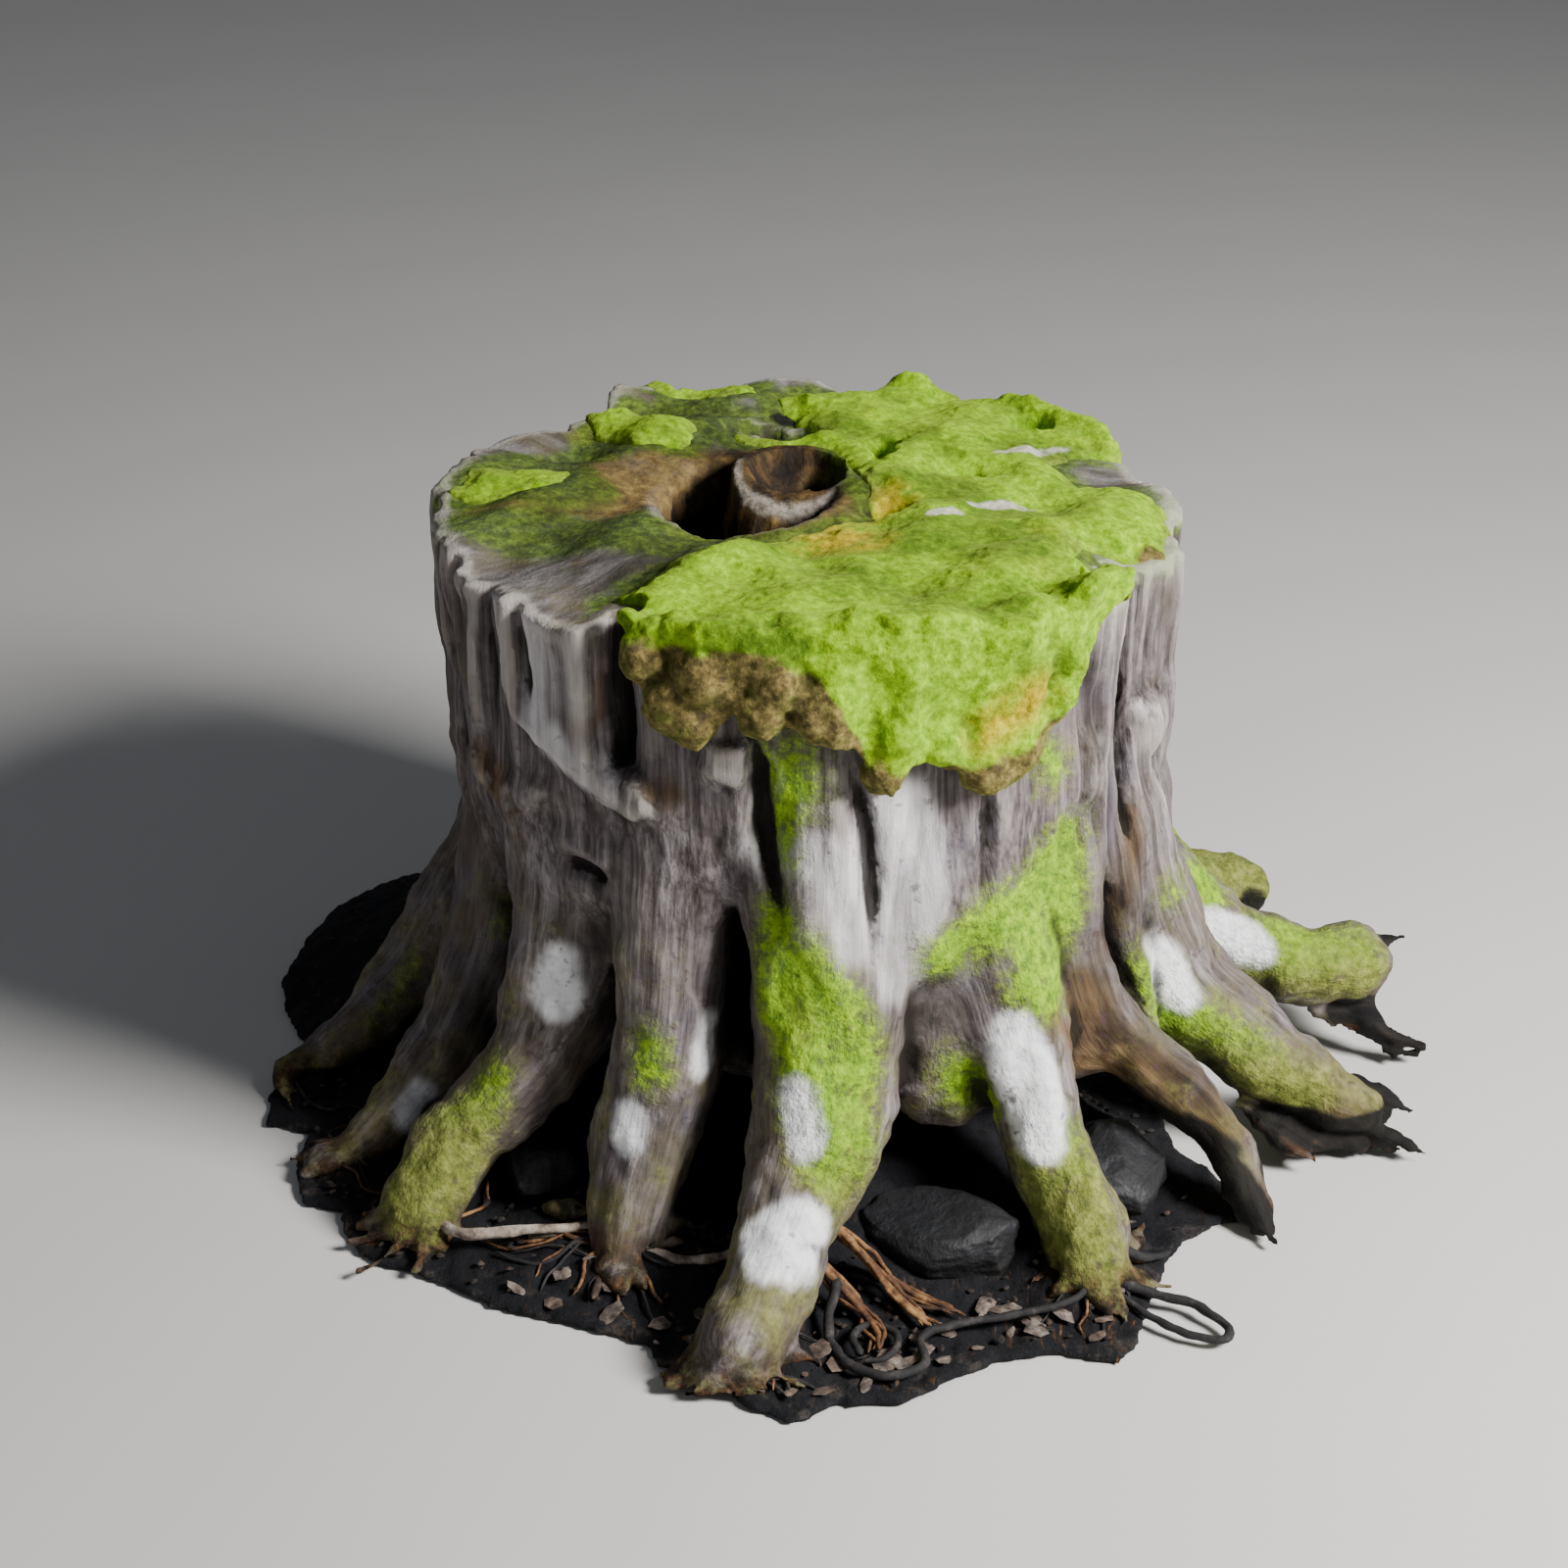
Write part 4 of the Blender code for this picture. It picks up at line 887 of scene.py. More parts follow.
# Near-black wood at the torn root ends and on the thin right root, and painted shade at the bottoms of three holes
# through the moss, each a line of (x, y, z, radius)
DARK_WOOD_AND_HOLE_SHADE = (
    ((0.216, -0.178, 0.082, 0.006), (0.250, -0.188, 0.066, 0.012), (0.278, -0.202, 0.050, 0.014)),
    ((0.163, 0.158, 0.432, 0.012), (0.162, 0.150, 0.418, 0.014)),
    ((0.054, 0.076, 0.434, 0.010), (0.054, 0.064, 0.430, 0.008)),
    ((-0.016, 0.174, 0.428, 0.010), (0.000, 0.170, 0.428, 0.008)),
    ((0.254, -0.204, 0.070, 0.010), (0.286, -0.222, 0.034, 0.016), (0.306, -0.236, 0.010, 0.020)),
    ((0.292, -0.168, 0.052, 0.008), (0.306, -0.190, 0.034, 0.012)),
    ((0.318, -0.140, 0.026, 0.018), (0.366, -0.132, 0.024, 0.020), (0.420, -0.130, 0.016, 0.030)),
    ((0.352, -0.084, 0.040, 0.014), (0.400, -0.096, 0.030, 0.026)),
    ((0.396, -0.004, 0.042, 0.012), (0.430, -0.006, 0.026, 0.024), (0.460, -0.012, 0.016, 0.020)),
    ((0.426, 0.020, 0.066, 0.010), (0.438, 0.038, 0.080, 0.014)),
    ((0.352, 0.164, 0.030, 0.018), (0.362, 0.160, 0.026, 0.016)),
)

BUNDLE = 4
FINE_STRANDS = 130
LEAF_SCRAPS = 54
LEAF_SPREAD = (-82.0, 20.0)
CRUMBS = 900

WOOD_CELL = 0.0032
MOSS_CELL = 0.0020
SOIL_CELL = 0.0036
NOISE_PERIOD = 41
CELL_CORNERS = tuple((i, j, k) for i in (0, 1) for j in (0, 1) for k in (0, 1))


def smooth_step(value, low, high):
    t = np.clip((value - low) / (high - low), 0.0, 1.0)
    return t * t * (3.0 - 2.0 * t)


def smooth_union(a, b, reach):
    share = np.clip(0.5 + 0.5 * (b - a) / reach, 0.0, 1.0)
    return b * (1.0 - share) + a * share - reach * share * (1.0 - share)


def smooth_cut(a, tool, reach):
    return -smooth_union(-a, tool, reach)


def spline(points, steps):
    """A smooth line through the points, with this many steps between two of them."""
    p = np.array(points, float)
    p = np.vstack([2 * p[0] - p[1], p, 2 * p[-1] - p[-2]])
    t = np.linspace(0.0, 1.0, steps, endpoint=False)[:, None]
    rows = []
    for a, b, c, d in zip(p, p[1:], p[2:], p[3:]):
        rows.append(0.5 * (2 * b + (c - a) * t + (2 * a - 5 * b + 4 * c - d) * t**2 + (3 * b - a - 3 * c + d) * t**3))
    rows.append(p[-2][None])
    return np.vstack(rows)


@functools.cache
def gradients(seed):
    table = np.random.default_rng(seed).normal(size=(NOISE_PERIOD**3, 3))
    return (table / np.linalg.norm(table, axis=1, keepdims=True)).astype(np.float32)


def swell(p, size, seed, stretch=(1.0, 1.0, 1.0)):
    """Smooth random swells, about -1 to 1, this far apart; stretch makes them longer along an axis."""
    table = gradients(seed)
    scaled = (p / (size * np.array(stretch)) + 100.0).astype(np.float32)
    cell = np.floor(scaled).astype(np.int32)
    share = scaled - cell
    ease = share**3 * (share * (share * 6.0 - 15.0) + 10.0)
    cell %= NOISE_PERIOD
    after = (cell + 1) % NOISE_PERIOD
    total = np.zeros(len(p), np.float32)
    for i, j, k in CELL_CORNERS:
        spot = after if i else cell
        row = spot[:, 0] * NOISE_PERIOD + (after if j else cell)[:, 1]
        slope = table[row * NOISE_PERIOD + (after if k else cell)[:, 2]]
        weight = ease[:, 0] if i else 1.0 - ease[:, 0]
        weight = weight * (ease[:, 1] if j else 1.0 - ease[:, 1])
        weight = weight * (ease[:, 2] if k else 1.0 - ease[:, 2])
        gap = (share[:, 0] - i) * slope[:, 0] + (share[:, 1] - j) * slope[:, 1] + (share[:, 2] - k) * slope[:, 2]
        total += weight * gap
    return total * 1.7


def tube(p, line, margin, flat=1.0):
    """(which points, their distance to a tube) where line holds x, y, z and radius."""
    reach = line[:, 3].max() + margin
    low, high = line[:, :3].min(0) - reach, line[:, :3].max(0) + reach
    pick = np.nonzero(((p > low) & (p < high)).all(1))[0]
    q = p[pick]
    found = np.full(len(q), 1e3)
    for a, b in zip(line, line[1:]):
        along = b[:3] - a[:3]
        t = np.clip(((q - a[:3]) @ along) / (along @ along), 0.0, 1.0)
        gap = q - a[:3] - t[:, None] * along
        gap[:, 2] /= flat
        found = np.minimum(found, np.sqrt((gap * gap).sum(1)) - (a[3] + t * (b[3] - a[3])))
    return pick, found * flat


def flake(p, thickness, corners):
    """(which points, their distance to a flat torn flake) round the corner points."""
    corners = np.array(corners)
    centre = corners.mean(0)
    across = np.linalg.svd(corners - centre)[2][2]
    across = across * np.sign(across[2])
    low, high = corners.min(0) - 0.03, corners.max(0) + 0.03
    pick = np.nonzero(((p > low) & (p < high)).all(1))[0]
    q = p[pick]
    edge = inside_outline(q[:, 0], q[:, 1], [tuple(c) for c in corners[:, :2]])
    edge = edge + 0.0030 * swell(q, 0.012, 46) + 0.0016 * swell(q, 0.006, 47)
    lift = (q - centre) @ across + 0.5 * thickness + 0.0015 * swell(q, 0.018, 48)
    return pick, smooth_cut(np.abs(lift) - 0.5 * thickness, edge, 0.002)


@functools.cache
def foot_strands():
    """Lines (x, y, z, radius) of the strands into which the roots' feet fray."""
    rng = np.random.default_rng(9)
    lines = []
    for name, number, spread, length in FRAYED_FEET:
        (bx, by, _, _), (tx, ty, tz, radius) = ROOTS[name][-2:]
        heading = math.atan2(ty - by, tx - bx)
        for turn in np.linspace(-math.radians(spread), math.radians(spread), number):
            turn = heading + turn + rng.normal(0.0, 0.10)
            bend = turn + rng.normal(0.0, 0.35)
            out, reach = np.array((math.cos(turn), math.sin(turn))), length * rng.uniform(0.6, 1.3)
            girth = rng.uniform(0.0045, 0.0075)
            rows = []
            for share, lift, size in ((0.35, 0.75 * tz, 1.0), (0.95, 0.45 * tz + 0.006, 0.95)):
                rows.append((tx + out[0] * radius * share, ty + out[1] * radius * share, lift, girth * size))
            for share, size in ((0.5, 0.6), (1.0, 0.22)):
                x = tx + out[0] * radius + math.cos(bend) * reach * share
                y = ty + out[1] * radius + math.sin(bend) * reach * share
                rows.append((x, y, float(soil_height(np.array([x]), np.array([y]))[0]) + 0.001, girth * size))
            lines.append(spline(rows, ROOT_STEPS))
    return lines


def ellipsoid(p, centre, radii):
    return (np.sqrt((((p - np.array(centre)) / np.array(radii)) ** 2).sum(1)) - 1.0) * min(radii)


def on_trunk(azimuth, height, radius):
    turn = math.radians(azimuth)
    return radius * math.cos(turn), radius * math.sin(turn), height


def polar(p):
    return np.hypot(p[:, 0], p[:, 1]), np.degrees(np.arctan2(p[:, 1], p[:, 0]))


def trunk_field(p):
    reach, azimuth = polar(p)
    radius = np.interp(p[:, 2], *zip(*TRUNK_PROFILE))
    outline = np.interp(azimuth, *zip(*TRUNK_OUTLINE))
    flutes = sum(depth * np.sin(np.radians(azimuth) * count + turn) for count, turn, depth in FLUTES)
    trunk = reach - radius - (outline + flutes) * smooth_step(p[:, 2], *OUTLINE_FADE)
    return smooth_cut(trunk, p[:, 2] - TRUNK_UNDERSIDE, 0.05)


def roots_field(p):
    field = np.full(len(p), 1.0)
    for points in [*ROOTS.values(), *WEBS]:
        pick, root = tube(p, spline(points, ROOT_STEPS), 0.05)
        field[pick] = smooth_union(field[pick], root, ROOT_BLEND)
    for line in foot_strands():
        pick, strand_field = tube(p, line, 0.02)
        field[pick] = smooth_union(field[pick], strand_field, 0.009)
    for size, height, seed in ROOT_SWELLS:
        field += height * swell(p * (1.0, 1.0, 0.6), size, seed)
    return field


def face_height(p):
    """Height of the weathered cut face over each point of the plan."""
    x, y = p[:, 0], p[:, 1]
    height = CUT_HEIGHT + 0.004 * np.sin(x * 31.0 + 1.0) * np.cos(y * 27.0) + 0.003 * np.sin(x * 63.0 - y * 41.0)
    height = height + 0.007 * smooth_step(y, 0.165, 0.20) * smooth_step(-x, -0.06, 0.05)
    height = height - FACE_FALL * smooth_step(x + y, 0.04, 0.26)
    flat = p * (1.0, 1.0, 0.0)
    height = height + 0.0032 * swell(flat, 0.046, 21) - 0.0009 * np.abs(swell(flat, 0.030, 22, (2.4, 0.8, 1.0)))
    for px, py, radius_x, radius_y, depth in FACE_PITS:
        away = np.hypot((x - px) / radius_x, (y - py) / radius_y)
        height = height - depth * (1.0 - smooth_step(away, 0.2, 1.15))
    return height


def heart_field(p, field):
    """Opens the rotted heart and stands the cup of sound wood in it."""
    rough = 0.0022 * swell(p, 0.014, 31) + 0.0012 * swell(p, 0.007, 32)
    field = smooth_cut(field, ellipsoid(p, *HEART_HOLLOW) + rough, 0.010)
    field = smooth_cut(field, ellipsoid(p, *HEART_PIT) + rough, 0.010)
    pick, cup = tube(p, np.array([(*CUP_FOOT, CUP_RADII[0]), (*CUP_MOUTH, CUP_RADII[1])]), 0.04)
    q = p[pick]
    rim = q[:, 2] - CUP_RIM[0] - CUP_RIM[1] * (q[:, 1] - CUP_MOUTH[1]) - 0.0015 * swell(q, 0.012, 33)
    cup = smooth_cut(cup + 0.6 * rough[pick], -rim, 0.005)
    field[pick] = smooth_union(field[pick], cup, 0.006)
    for bowl in CUP_BOWLS:
        field = smooth_cut(field, ellipsoid(p, *bowl) + rough, 0.004)
    return field


def inside_outline(x, y, corners):
    """Distance to the outline on the plan, positive inside it."""
    nearest = np.full(len(x), 1.0)
    odd = np.zeros(len(x), bool)
    for (ax, ay), (bx, by) in zip(corners, corners[1:] + corners[:1]):
        dx, dy = bx - ax, by - ay
        t = np.clip(((x - ax) * dx + (y - ay) * dy) / (dx * dx + dy * dy), 0.0, 1.0)
        nearest = np.minimum(nearest, np.hypot(x - ax - t * dx, y - ay - t * dy))
        odd ^= ((ay > y) != (by > y)) & (x < ax + (y - ay) * dx / (dy if dy else 1.0))
    return np.where(odd, nearest, -nearest)


def carve_clefts(p, field):
    """Splits in the skin, rounded at their edges, that run out at both ends."""
    pick = np.nonzero((field > -0.055) & (field < 0.030))[0]
    q, skin = p[pick], field[pick]
    reach, azimuth = polar(q)
    arc = np.radians(azimuth) * CUT_RADIUS + 0.0025 * swell(q, 0.030, 41, (1.0, 1.0, 1.4)) + 0.0010 * swell(q, 0.009, 42)
    outer = reach > 0.150
    for depth, points in CLEFTS:
        line = [(math.radians(a) * CUT_RADIUS, z, w) for a, z, w in points]
        low = min(a for a, _, _ in line) - 0.03
        high = max(a for a, _, _ in line) + 0.03
        near = np.nonzero(outer & (arc > low) & (arc < high))[0]
        sunk = np.zeros(len(near))
        for (a0, z0, w0), (a1, z1, w1) in zip(line, line[1:]):
            da, dz = a1 - a0, z1 - z0
            t = np.clip(((arc[near] - a0) * da + (q[near, 2] - z0) * dz) / (da * da + dz * dz), 0.0, 1.0)
            gap = np.hypot(arc[near] - a0 - t * da, q[near, 2] - z0 - t * dz)
            width = w0 + t * (w1 - w0)
            share = np.clip((width - 0.0006) / 0.0034, 0.0, 1.0)
            sunk = np.maximum(sunk, depth * share * np.exp(-((gap / (0.0024 + 1.1 * width)) ** 2)))
        skin[near] += sunk
    field[pick] = skin
    return field


def wood_field(p):
    """Distance to the whole stump, negative inside it."""
    blend = TRUNK_BLEND_LOW + (TRUNK_BLEND_HIGH - TRUNK_BLEND_LOW) * smooth_step(p[:, 2], *BLEND_HEIGHTS)
    field = smooth_union(trunk_field(p), roots_field(p), blend)
    reach, azimuth = polar(p)
    arc = np.radians(azimuth) * CUT_RADIUS + 0.0015 * swell(p, 0.016, 43)
    outer = smooth_step(reach, 0.190, 0.215)
    for proud, corners in SLABS:
        corners = tuple((math.radians(a) * CUT_RADIUS, height) for a, height in corners)
        field = field - proud * outer * smooth_step(inside_outline(arc, p[:, 2], corners), -SLAB_EDGE, SLAB_EDGE)
    for radius, out, points in SCARS:
        line = spline([(*on_trunk(a, height, out), radius) for a, height in points], ROOT_STEPS)
        pick, scar = tube(p, line, 0.03)
        scar = scar + 0.0020 * swell(p[pick], 0.014, 44)
        field[pick] = smooth_union(field[pick], scar, SCAR_BLEND)
    for thickness, corners in FLAKES:
        pick, piece = flake(p, thickness, corners)
        field[pick] = smooth_union(field[pick], piece, 0.005)
    for flat, points in SPLINTERS:
        pick, piece = tube(p, spline(points, ROOT_STEPS), 0.03, flat)
        field[pick] = smooth_union(field[pick], piece + 0.0012 * swell(p[pick], 0.010, 45), 0.004)
    field = carve_clefts(p, field)
    field = smooth_cut(field, face_height(p) - p[:, 2], 0.006)
    field = heart_field(p, field)
    return smooth_cut(field, p[:, 2] - 0.0020, 0.002)


def moss_cover(p, name):
    """(how far inside the patch, how thick the moss is there)."""
    thickness, corners = MOSS_PATCHES[name]
    reach, azimuth = polar(p)
    hem = np.interp(azimuth, *zip(*MOSS_HEM), left=HEM_AWAY, right=HEM_AWAY)
    hem = hem - 0.2 * (1.0 - smooth_step(reach, 0.195, 0.222))
    ragged = 0.0050 * swell(p, 0.022, 51) + 0.0025 * swell(p, 0.009, 52)
    cover = np.minimum(inside_outline(p[:, 0], p[:, 1], corners) + ragged, 3.0 * (p[:, 2] - hem) + ragged)
    over_edge = smooth_step(reach, CUT_RADIUS - 0.020, CUT_RADIUS)
    full = thickness + (DRAPE_THICKNESS - thickness) * over_edge * (name == "moss_mat")
    lumps = 1.0 + 0.30 * swell(p, 0.030, 53) + 0.10 * swell(p, 0.012, 54)
    return cover, full * lumps


def moss_field(p, name):
    stump = wood_field(p)
    cover, full = moss_cover(p, name)
    buried = -0.016
    rise = MOSS_EDGE + (MOSS_RISE - MOSS_EDGE) * smooth_step(p[:, 2], 0.424, 0.440)
    depth = buried * (1.0 - smooth_step(cover, -MOSS_EDGE, 0.0)) + full * smooth_step(cover / rise, -0.3, 1.0)
    field = stump - depth
    if name == "moss_mat":
        for azimuth, height, radius in MOSS_LOBES:
            centre = np.array(on_trunk(azimuth, height, 0.262))
            pick = np.nonzero((np.abs(p - centre) < 0.05).all(1))[0]
            lobe = np.sqrt((((p[pick] - centre) * (1.0, 1.0, 0.9)) ** 2).sum(1)) - radius
            field[pick] = smooth_union(field[pick], lobe + 0.0020 * swell(p[pick], 0.010, 55), 0.006)
        for x, y, radius_x, radius_y, depth in MOSS_HOLES:
            field = smooth_cut(field, ellipsoid(p, (x, y, CUT_HEIGHT + 0.014), (radius_x, radius_y, depth)), 0.006)
    field += 0.0009 * swell(p, 0.0066, 56) + 0.0005 * swell(p, 0.0042, 58)
    return np.maximum(field, -0.010 - stump)


def soil_height(x, y):
    """Height of the crust's top over each point of the plan."""
    reach, azimuth = np.hypot(x, y), np.degrees(np.arctan2(y, x))
    share = reach / np.interp(azimuth, *zip(*SOIL_EDGE))
    height = SOIL_RIM_THICKNESS + (SOIL_HEART - SOIL_RIM_THICKNESS) * (1.0 - smooth_step(share, 0.30, 0.92))
    for bank_x, bank_y, radius, lift in SOIL_BANKS:
        away = np.hypot(x - bank_x, y - bank_y) / radius
        height = height + lift * (1.0 - smooth_step(away, 0.15, 1.0)) * (1.0 - 0.75 * np.minimum(share, 1.0) ** 6)
    for name, _, _, _ in FRAYED_FEET:
        foot_x, foot_y, _, radius = ROOTS[name][-1]
        away = np.hypot(x - foot_x, y - foot_y) / (radius + 0.034)
        height = height + FOOT_BANK * (1.0 - smooth_step(away, 0.45, 1.0)) * (1.0 - smooth_step(share, 0.9, 1.0))
    return height


def soil_field(p):
    reach, azimuth = polar(p)
    edge = np.interp(azimuth, *zip(*SOIL_EDGE)) - 0.002
    flat = p * (1.0, 1.0, 0.0)
    ragged = 0.0045 * swell(flat, 0.018, 61) + 0.0030 * swell(flat, 0.008, 62)
    top = soil_height(p[:, 0], p[:, 1]) - 0.002
    clods = 0.0035 * swell(flat, 0.024, 63) + 0.0022 * swell(p, 0.011, 64) + 0.0012 * swell(p, 0.006, 65)
    field = smooth_cut(reach - edge + np.minimum(ragged, 0.0) - 0.002, top + clods - p[:, 2], 0.004)
    return np.maximum(field, 0.0004 - p[:, 2])


def dense_field(shape_field, low, high, cell):
    """(corner, values) of the field on a grid, worked out closely only near the surface."""
    coarse = 4
    low = np.array(low)
    count = np.ceil((np.array(high) - low) / (cell * coarse)).astype(int) + 1
    axes = [a + cell * coarse * np.arange(n) for a, n in zip(low, count)]
    points = np.stack(np.meshgrid(*axes, indexing="ij"), -1).reshape(-1, 3)
    rough = shape_field(points).reshape(count)
    near = np.abs(rough) < cell * coarse * 1.7
    fine_count = (count - 1) * coarse + 1
    index = [(np.arange(n) + coarse // 2) // coarse for n in fine_count]
    values = rough[np.ix_(*index)].astype(np.float32)
    spots = np.nonzero(near[np.ix_(*index)])
    points = low + cell * np.stack(spots, -1)
    found = [shape_field(points[n : n + 400000]) for n in range(0, len(points), 400000)]
    values[spots] = np.concatenate(found)
    return low, values


def settled(field):
    """Fills the grid points at which the surface would touch itself across a face or a cell."""
    filled = field.copy()
    for _ in range(10):
        inside = filled < 0.0
        add = np.zeros(field.shape, bool)
        for u, v in ((0, 1), (0, 2), (1, 2)):
            spots = []
            for du, dv in ((0, 0), (1, 0), (1, 1), (0, 1)):
                block = [slice(0, n) for n in field.shape]
                block[u] = slice(du, field.shape[u] - 1 + du)
                block[v] = slice(dv, field.shape[v] - 1 + dv)
                spots.append(tuple(block))
            a, b, c, d = (inside[spot] for spot in spots)
            crossed = (a == c) & (b == d) & (a != b)
            for spot in spots:
                add[spot] |= crossed
        add &= ~inside
        if not add.any():
            break
        filled[add] = -1e-4
    return filled


def surface_of(low, cell, field):
    """(points, quads) of the surface where the field is zero."""
    field = settled(field)
    inside = field < 0.0
    size = [n - 1 for n in field.shape]

    def corner(values, step):
        return values[tuple(slice(s, s + n) for s, n in zip(step, size))]

    count = sum(corner(inside, step).astype(np.int8) for step in CELL_CORNERS)
    cells = np.argwhere((count > 0) & (count < 8))
    index = np.full(size, -1, np.int32)
    index[tuple(cells.T)] = np.arange(len(cells))
    total = np.zeros((len(cells), 3))
    crossings = np.zeros((len(cells), 1))
    for a in CELL_CORNERS:
        for axis in range(3):
            if a[axis]:
                continue
            b = tuple(s + (n == axis) for n, s in enumerate(a))
            value_a = corner(field, a)[tuple(cells.T)]
            value_b = corner(field, b)[tuple(cells.T)]
            crossed = (value_a < 0.0) != (value_b < 0.0)
            share = np.where(crossed, value_a / np.where(crossed, value_a - value_b, 1.0), 0.0)
            place = (cells + np.array(a)).astype(float)
            place[:, axis] += share
            total += place * crossed[:, None]
            crossings += crossed[:, None]
    points = low + cell * total / crossings
    quads = []
    for axis in range(3):
        u, v = (axis + 1) % 3, (axis + 2) % 3
        near = [slice(1, n) for n in size]
        near[axis] = slice(0, size[axis])
        far = list(near)
        far[axis] = slice(1, size[axis] + 1)
        here, there = inside[tuple(near)], inside[tuple(far)]
        found = np.argwhere(here != there) + np.array([0 if n == axis else 1 for n in range(3)])
        leaving = here[here != there]
        ring = []
        for du, dv in ((1, 1), (0, 1), (0, 0), (1, 0)):
            cell_index = found.copy()
            cell_index[:, u] -= du
            cell_index[:, v] -= dv
            ring.append(index[tuple(cell_index.T)])
        ring = np.stack(ring, axis=1)
        ring[~leaving] = ring[~leaving][:, ::-1]
        quads.append(ring)
    return points, np.vstack(quads)


def keep_connected(points, quads, least=None):
    """Drops loose scraps: the body with the most points stays, or each that has at least so many."""
    label = np.arange(len(points))
    while True:
        lowest = label[quads].min(1)
        new = label.copy()
        np.minimum.at(new, quads.ravel(), np.repeat(lowest, quads.shape[1]))
        new = new[new]
        if (new == label).all():
            break
        label = new
    names, counts = np.unique(label, return_counts=True)
    kept = names[counts >= (least or counts.max())]
    return drop_unused(points, quads[np.isin(label[quads[:, 0]], kept)])


def drop_unused(points, faces):
    used = np.unique(faces)
    renumber = np.full(len(points), -1)
    renumber[used] = np.arange(len(used))
    return points[used], renumber[faces]


def point_normals(points, faces):
    """Even normals of the points, from the faces round each."""
    last = faces.shape[1] - 1
    across = np.cross(points[faces[:, 2]] - points[faces[:, 0]], points[faces[:, last]] - points[faces[:, 1]])
    if last == 2:
        across = np.cross(points[faces[:, 1]] - points[faces[:, 0]], points[faces[:, 2]] - points[faces[:, 0]])
    spread = np.repeat(across, last + 1, axis=0)
    found = np.stack([np.bincount(faces.ravel(), spread[:, n], len(points)) for n in range(3)], -1)
    return found / np.maximum(np.linalg.norm(found, axis=1, keepdims=True), 1e-12)


def new_piece(name, points, faces, replaced=(), normals=None):
    """A shown mesh piece that rides on the one body."""
    mesh = bpy.data.meshes.new(name)
    points = np.asarray(points, np.float32)
    faces = np.asarray(faces, np.int32)
    mesh.vertices.add(len(points))
    mesh.vertices.foreach_set("co", points.ravel())
    mesh.loops.add(faces.size)
    mesh.loops.foreach_set("vertex_index", faces.ravel())
    mesh.polygons.add(len(faces))
    mesh.polygons.foreach_set("loop_start", np.arange(len(faces), dtype=np.int32) * faces.shape[1])
    mesh.update(calc_edges=True)
    mesh.shade_smooth()
    if normals is not None:
        mesh.normals_split_custom_set_from_vertices(normals.astype(np.float32))
    obj = bpy.data.objects.new(name, mesh)
    bpy.context.scene.collection.objects.link(obj)
    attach(obj, "root")
    if replaced:
        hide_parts(*replaced)
    return obj


def mark(obj, name, values):
    """Stores one number, or one vector, a point for the materials to read."""
    values = np.asarray(values, np.float32)
    if values.ndim == 1:
        obj.data.attributes.new(name, "FLOAT", "POINT").data.foreach_set("value", values)
    else:
        obj.data.attributes.new(name, "FLOAT_VECTOR", "POINT").data.foreach_set("vector", values.ravel())


def grain_of(p):
    """Places of the points in the straightened wood, where the fibres run along Z."""
    weights = 1e-6 + smooth_step(p[:, 2], 0.17, 0.30) * np.exp(-np.clip(trunk_field(p), -0.02, 0.2) / 0.006)
    total = p * weights[:, None]
    for points in ROOTS.values():
        line = spline(points, ROOT_STEPS)
        reach = line[:, 3].max() + 0.03
        low, high = line[:, :3].min(0) - reach, line[:, :3].max(0) + reach
        pick = np.nonzero(((p > low) & (p < high)).all(1))[0]
        q = p[pick]
        best = np.full(len(q), 1e3)
        place = np.zeros((len(q), 3))
        side = np.array((1.0, 0.0, 0.0))
        run = 0.0
        for a, b in zip(line, line[1:]):
            along = b[:3] - a[:3]
            length = math.sqrt(along @ along)
            along = along / length
            side = side - along * (side @ along)
            side = side / np.linalg.norm(side)
            other = np.cross(along, side)
            t = np.clip((q - a[:3]) @ along / length, 0.0, 1.0)
            gap = q - a[:3] - (t * length)[:, None] * along
            away = np.sqrt((gap * gap).sum(1)) - (a[3] + t * (b[3] - a[3]))
            here = away < best
            best[here] = away[here]
            offset = np.stack([gap @ side, -(gap @ other), -(run + t * length)], -1)
            place[here] = (line[0, :3] + offset)[here]
            run += length
        weight = np.exp(-np.clip(best, -0.02, 0.2) / 0.006)
        total[pick] += place * weight[:, None]
        weights[pick] += weight
    return total / weights[:, None]


def patch_mask(p, patches, inner, outer):
    """1 inside any of the patches, falling to 0 from inner to outer round their lines."""
    mask = np.zeros(len(p))
    for points in patches:
        pick, away = tube(p, spline(points, ROOT_STEPS), outer)
        mask[pick] = np.maximum(mask[pick], 1.0 - smooth_step(away, inner, outer))
    return mask


def crowding(low, cell, field, points, normals, reach):
    """How much wood lies round each point: 0.5 on a flat skin, more in a crevice, less on a ridge."""
    share = np.clip(0.5 - field / cell, 0.0, 1.0).astype(np.float32)
    sums = np.pad(share, ((1, 0), (1, 0), (1, 0)))
    for axis in range(3):
        sums = np.cumsum(sums, axis=axis, dtype=np.float32 if axis < 1 else np.float64)
    half = max(1, int(round(reach / cell)))
    centre = np.rint((points + normals * cell * 0.5 - low) / cell).astype(int)
    first = np.clip(centre - half, 0, np.array(field.shape))
    last = np.clip(centre + half + 1, 0, np.array(field.shape))
    total = np.zeros(len(points))
    for step in CELL_CORNERS:
        spot = [np.where(s, last[:, n], first[:, n]) for n, s in enumerate(step)]
        total += sums[tuple(spot)] * (-1) ** (3 - sum(step))
    # the box is centred on a grid point, so its distance from the skin is made up for
    off = ((low + centre * cell - points) * normals).sum(1)
    side = (2 * half + 1) * cell * np.abs(normals).max(1)
    return total / np.prod(last - first, axis=1) + off / np.maximum(side, cell)


def groove_lines(noise_value, width):
    """1 on the lines where the noise crosses zero, 0 away from them."""
    return np.exp(-((noise_value / width) ** 2))


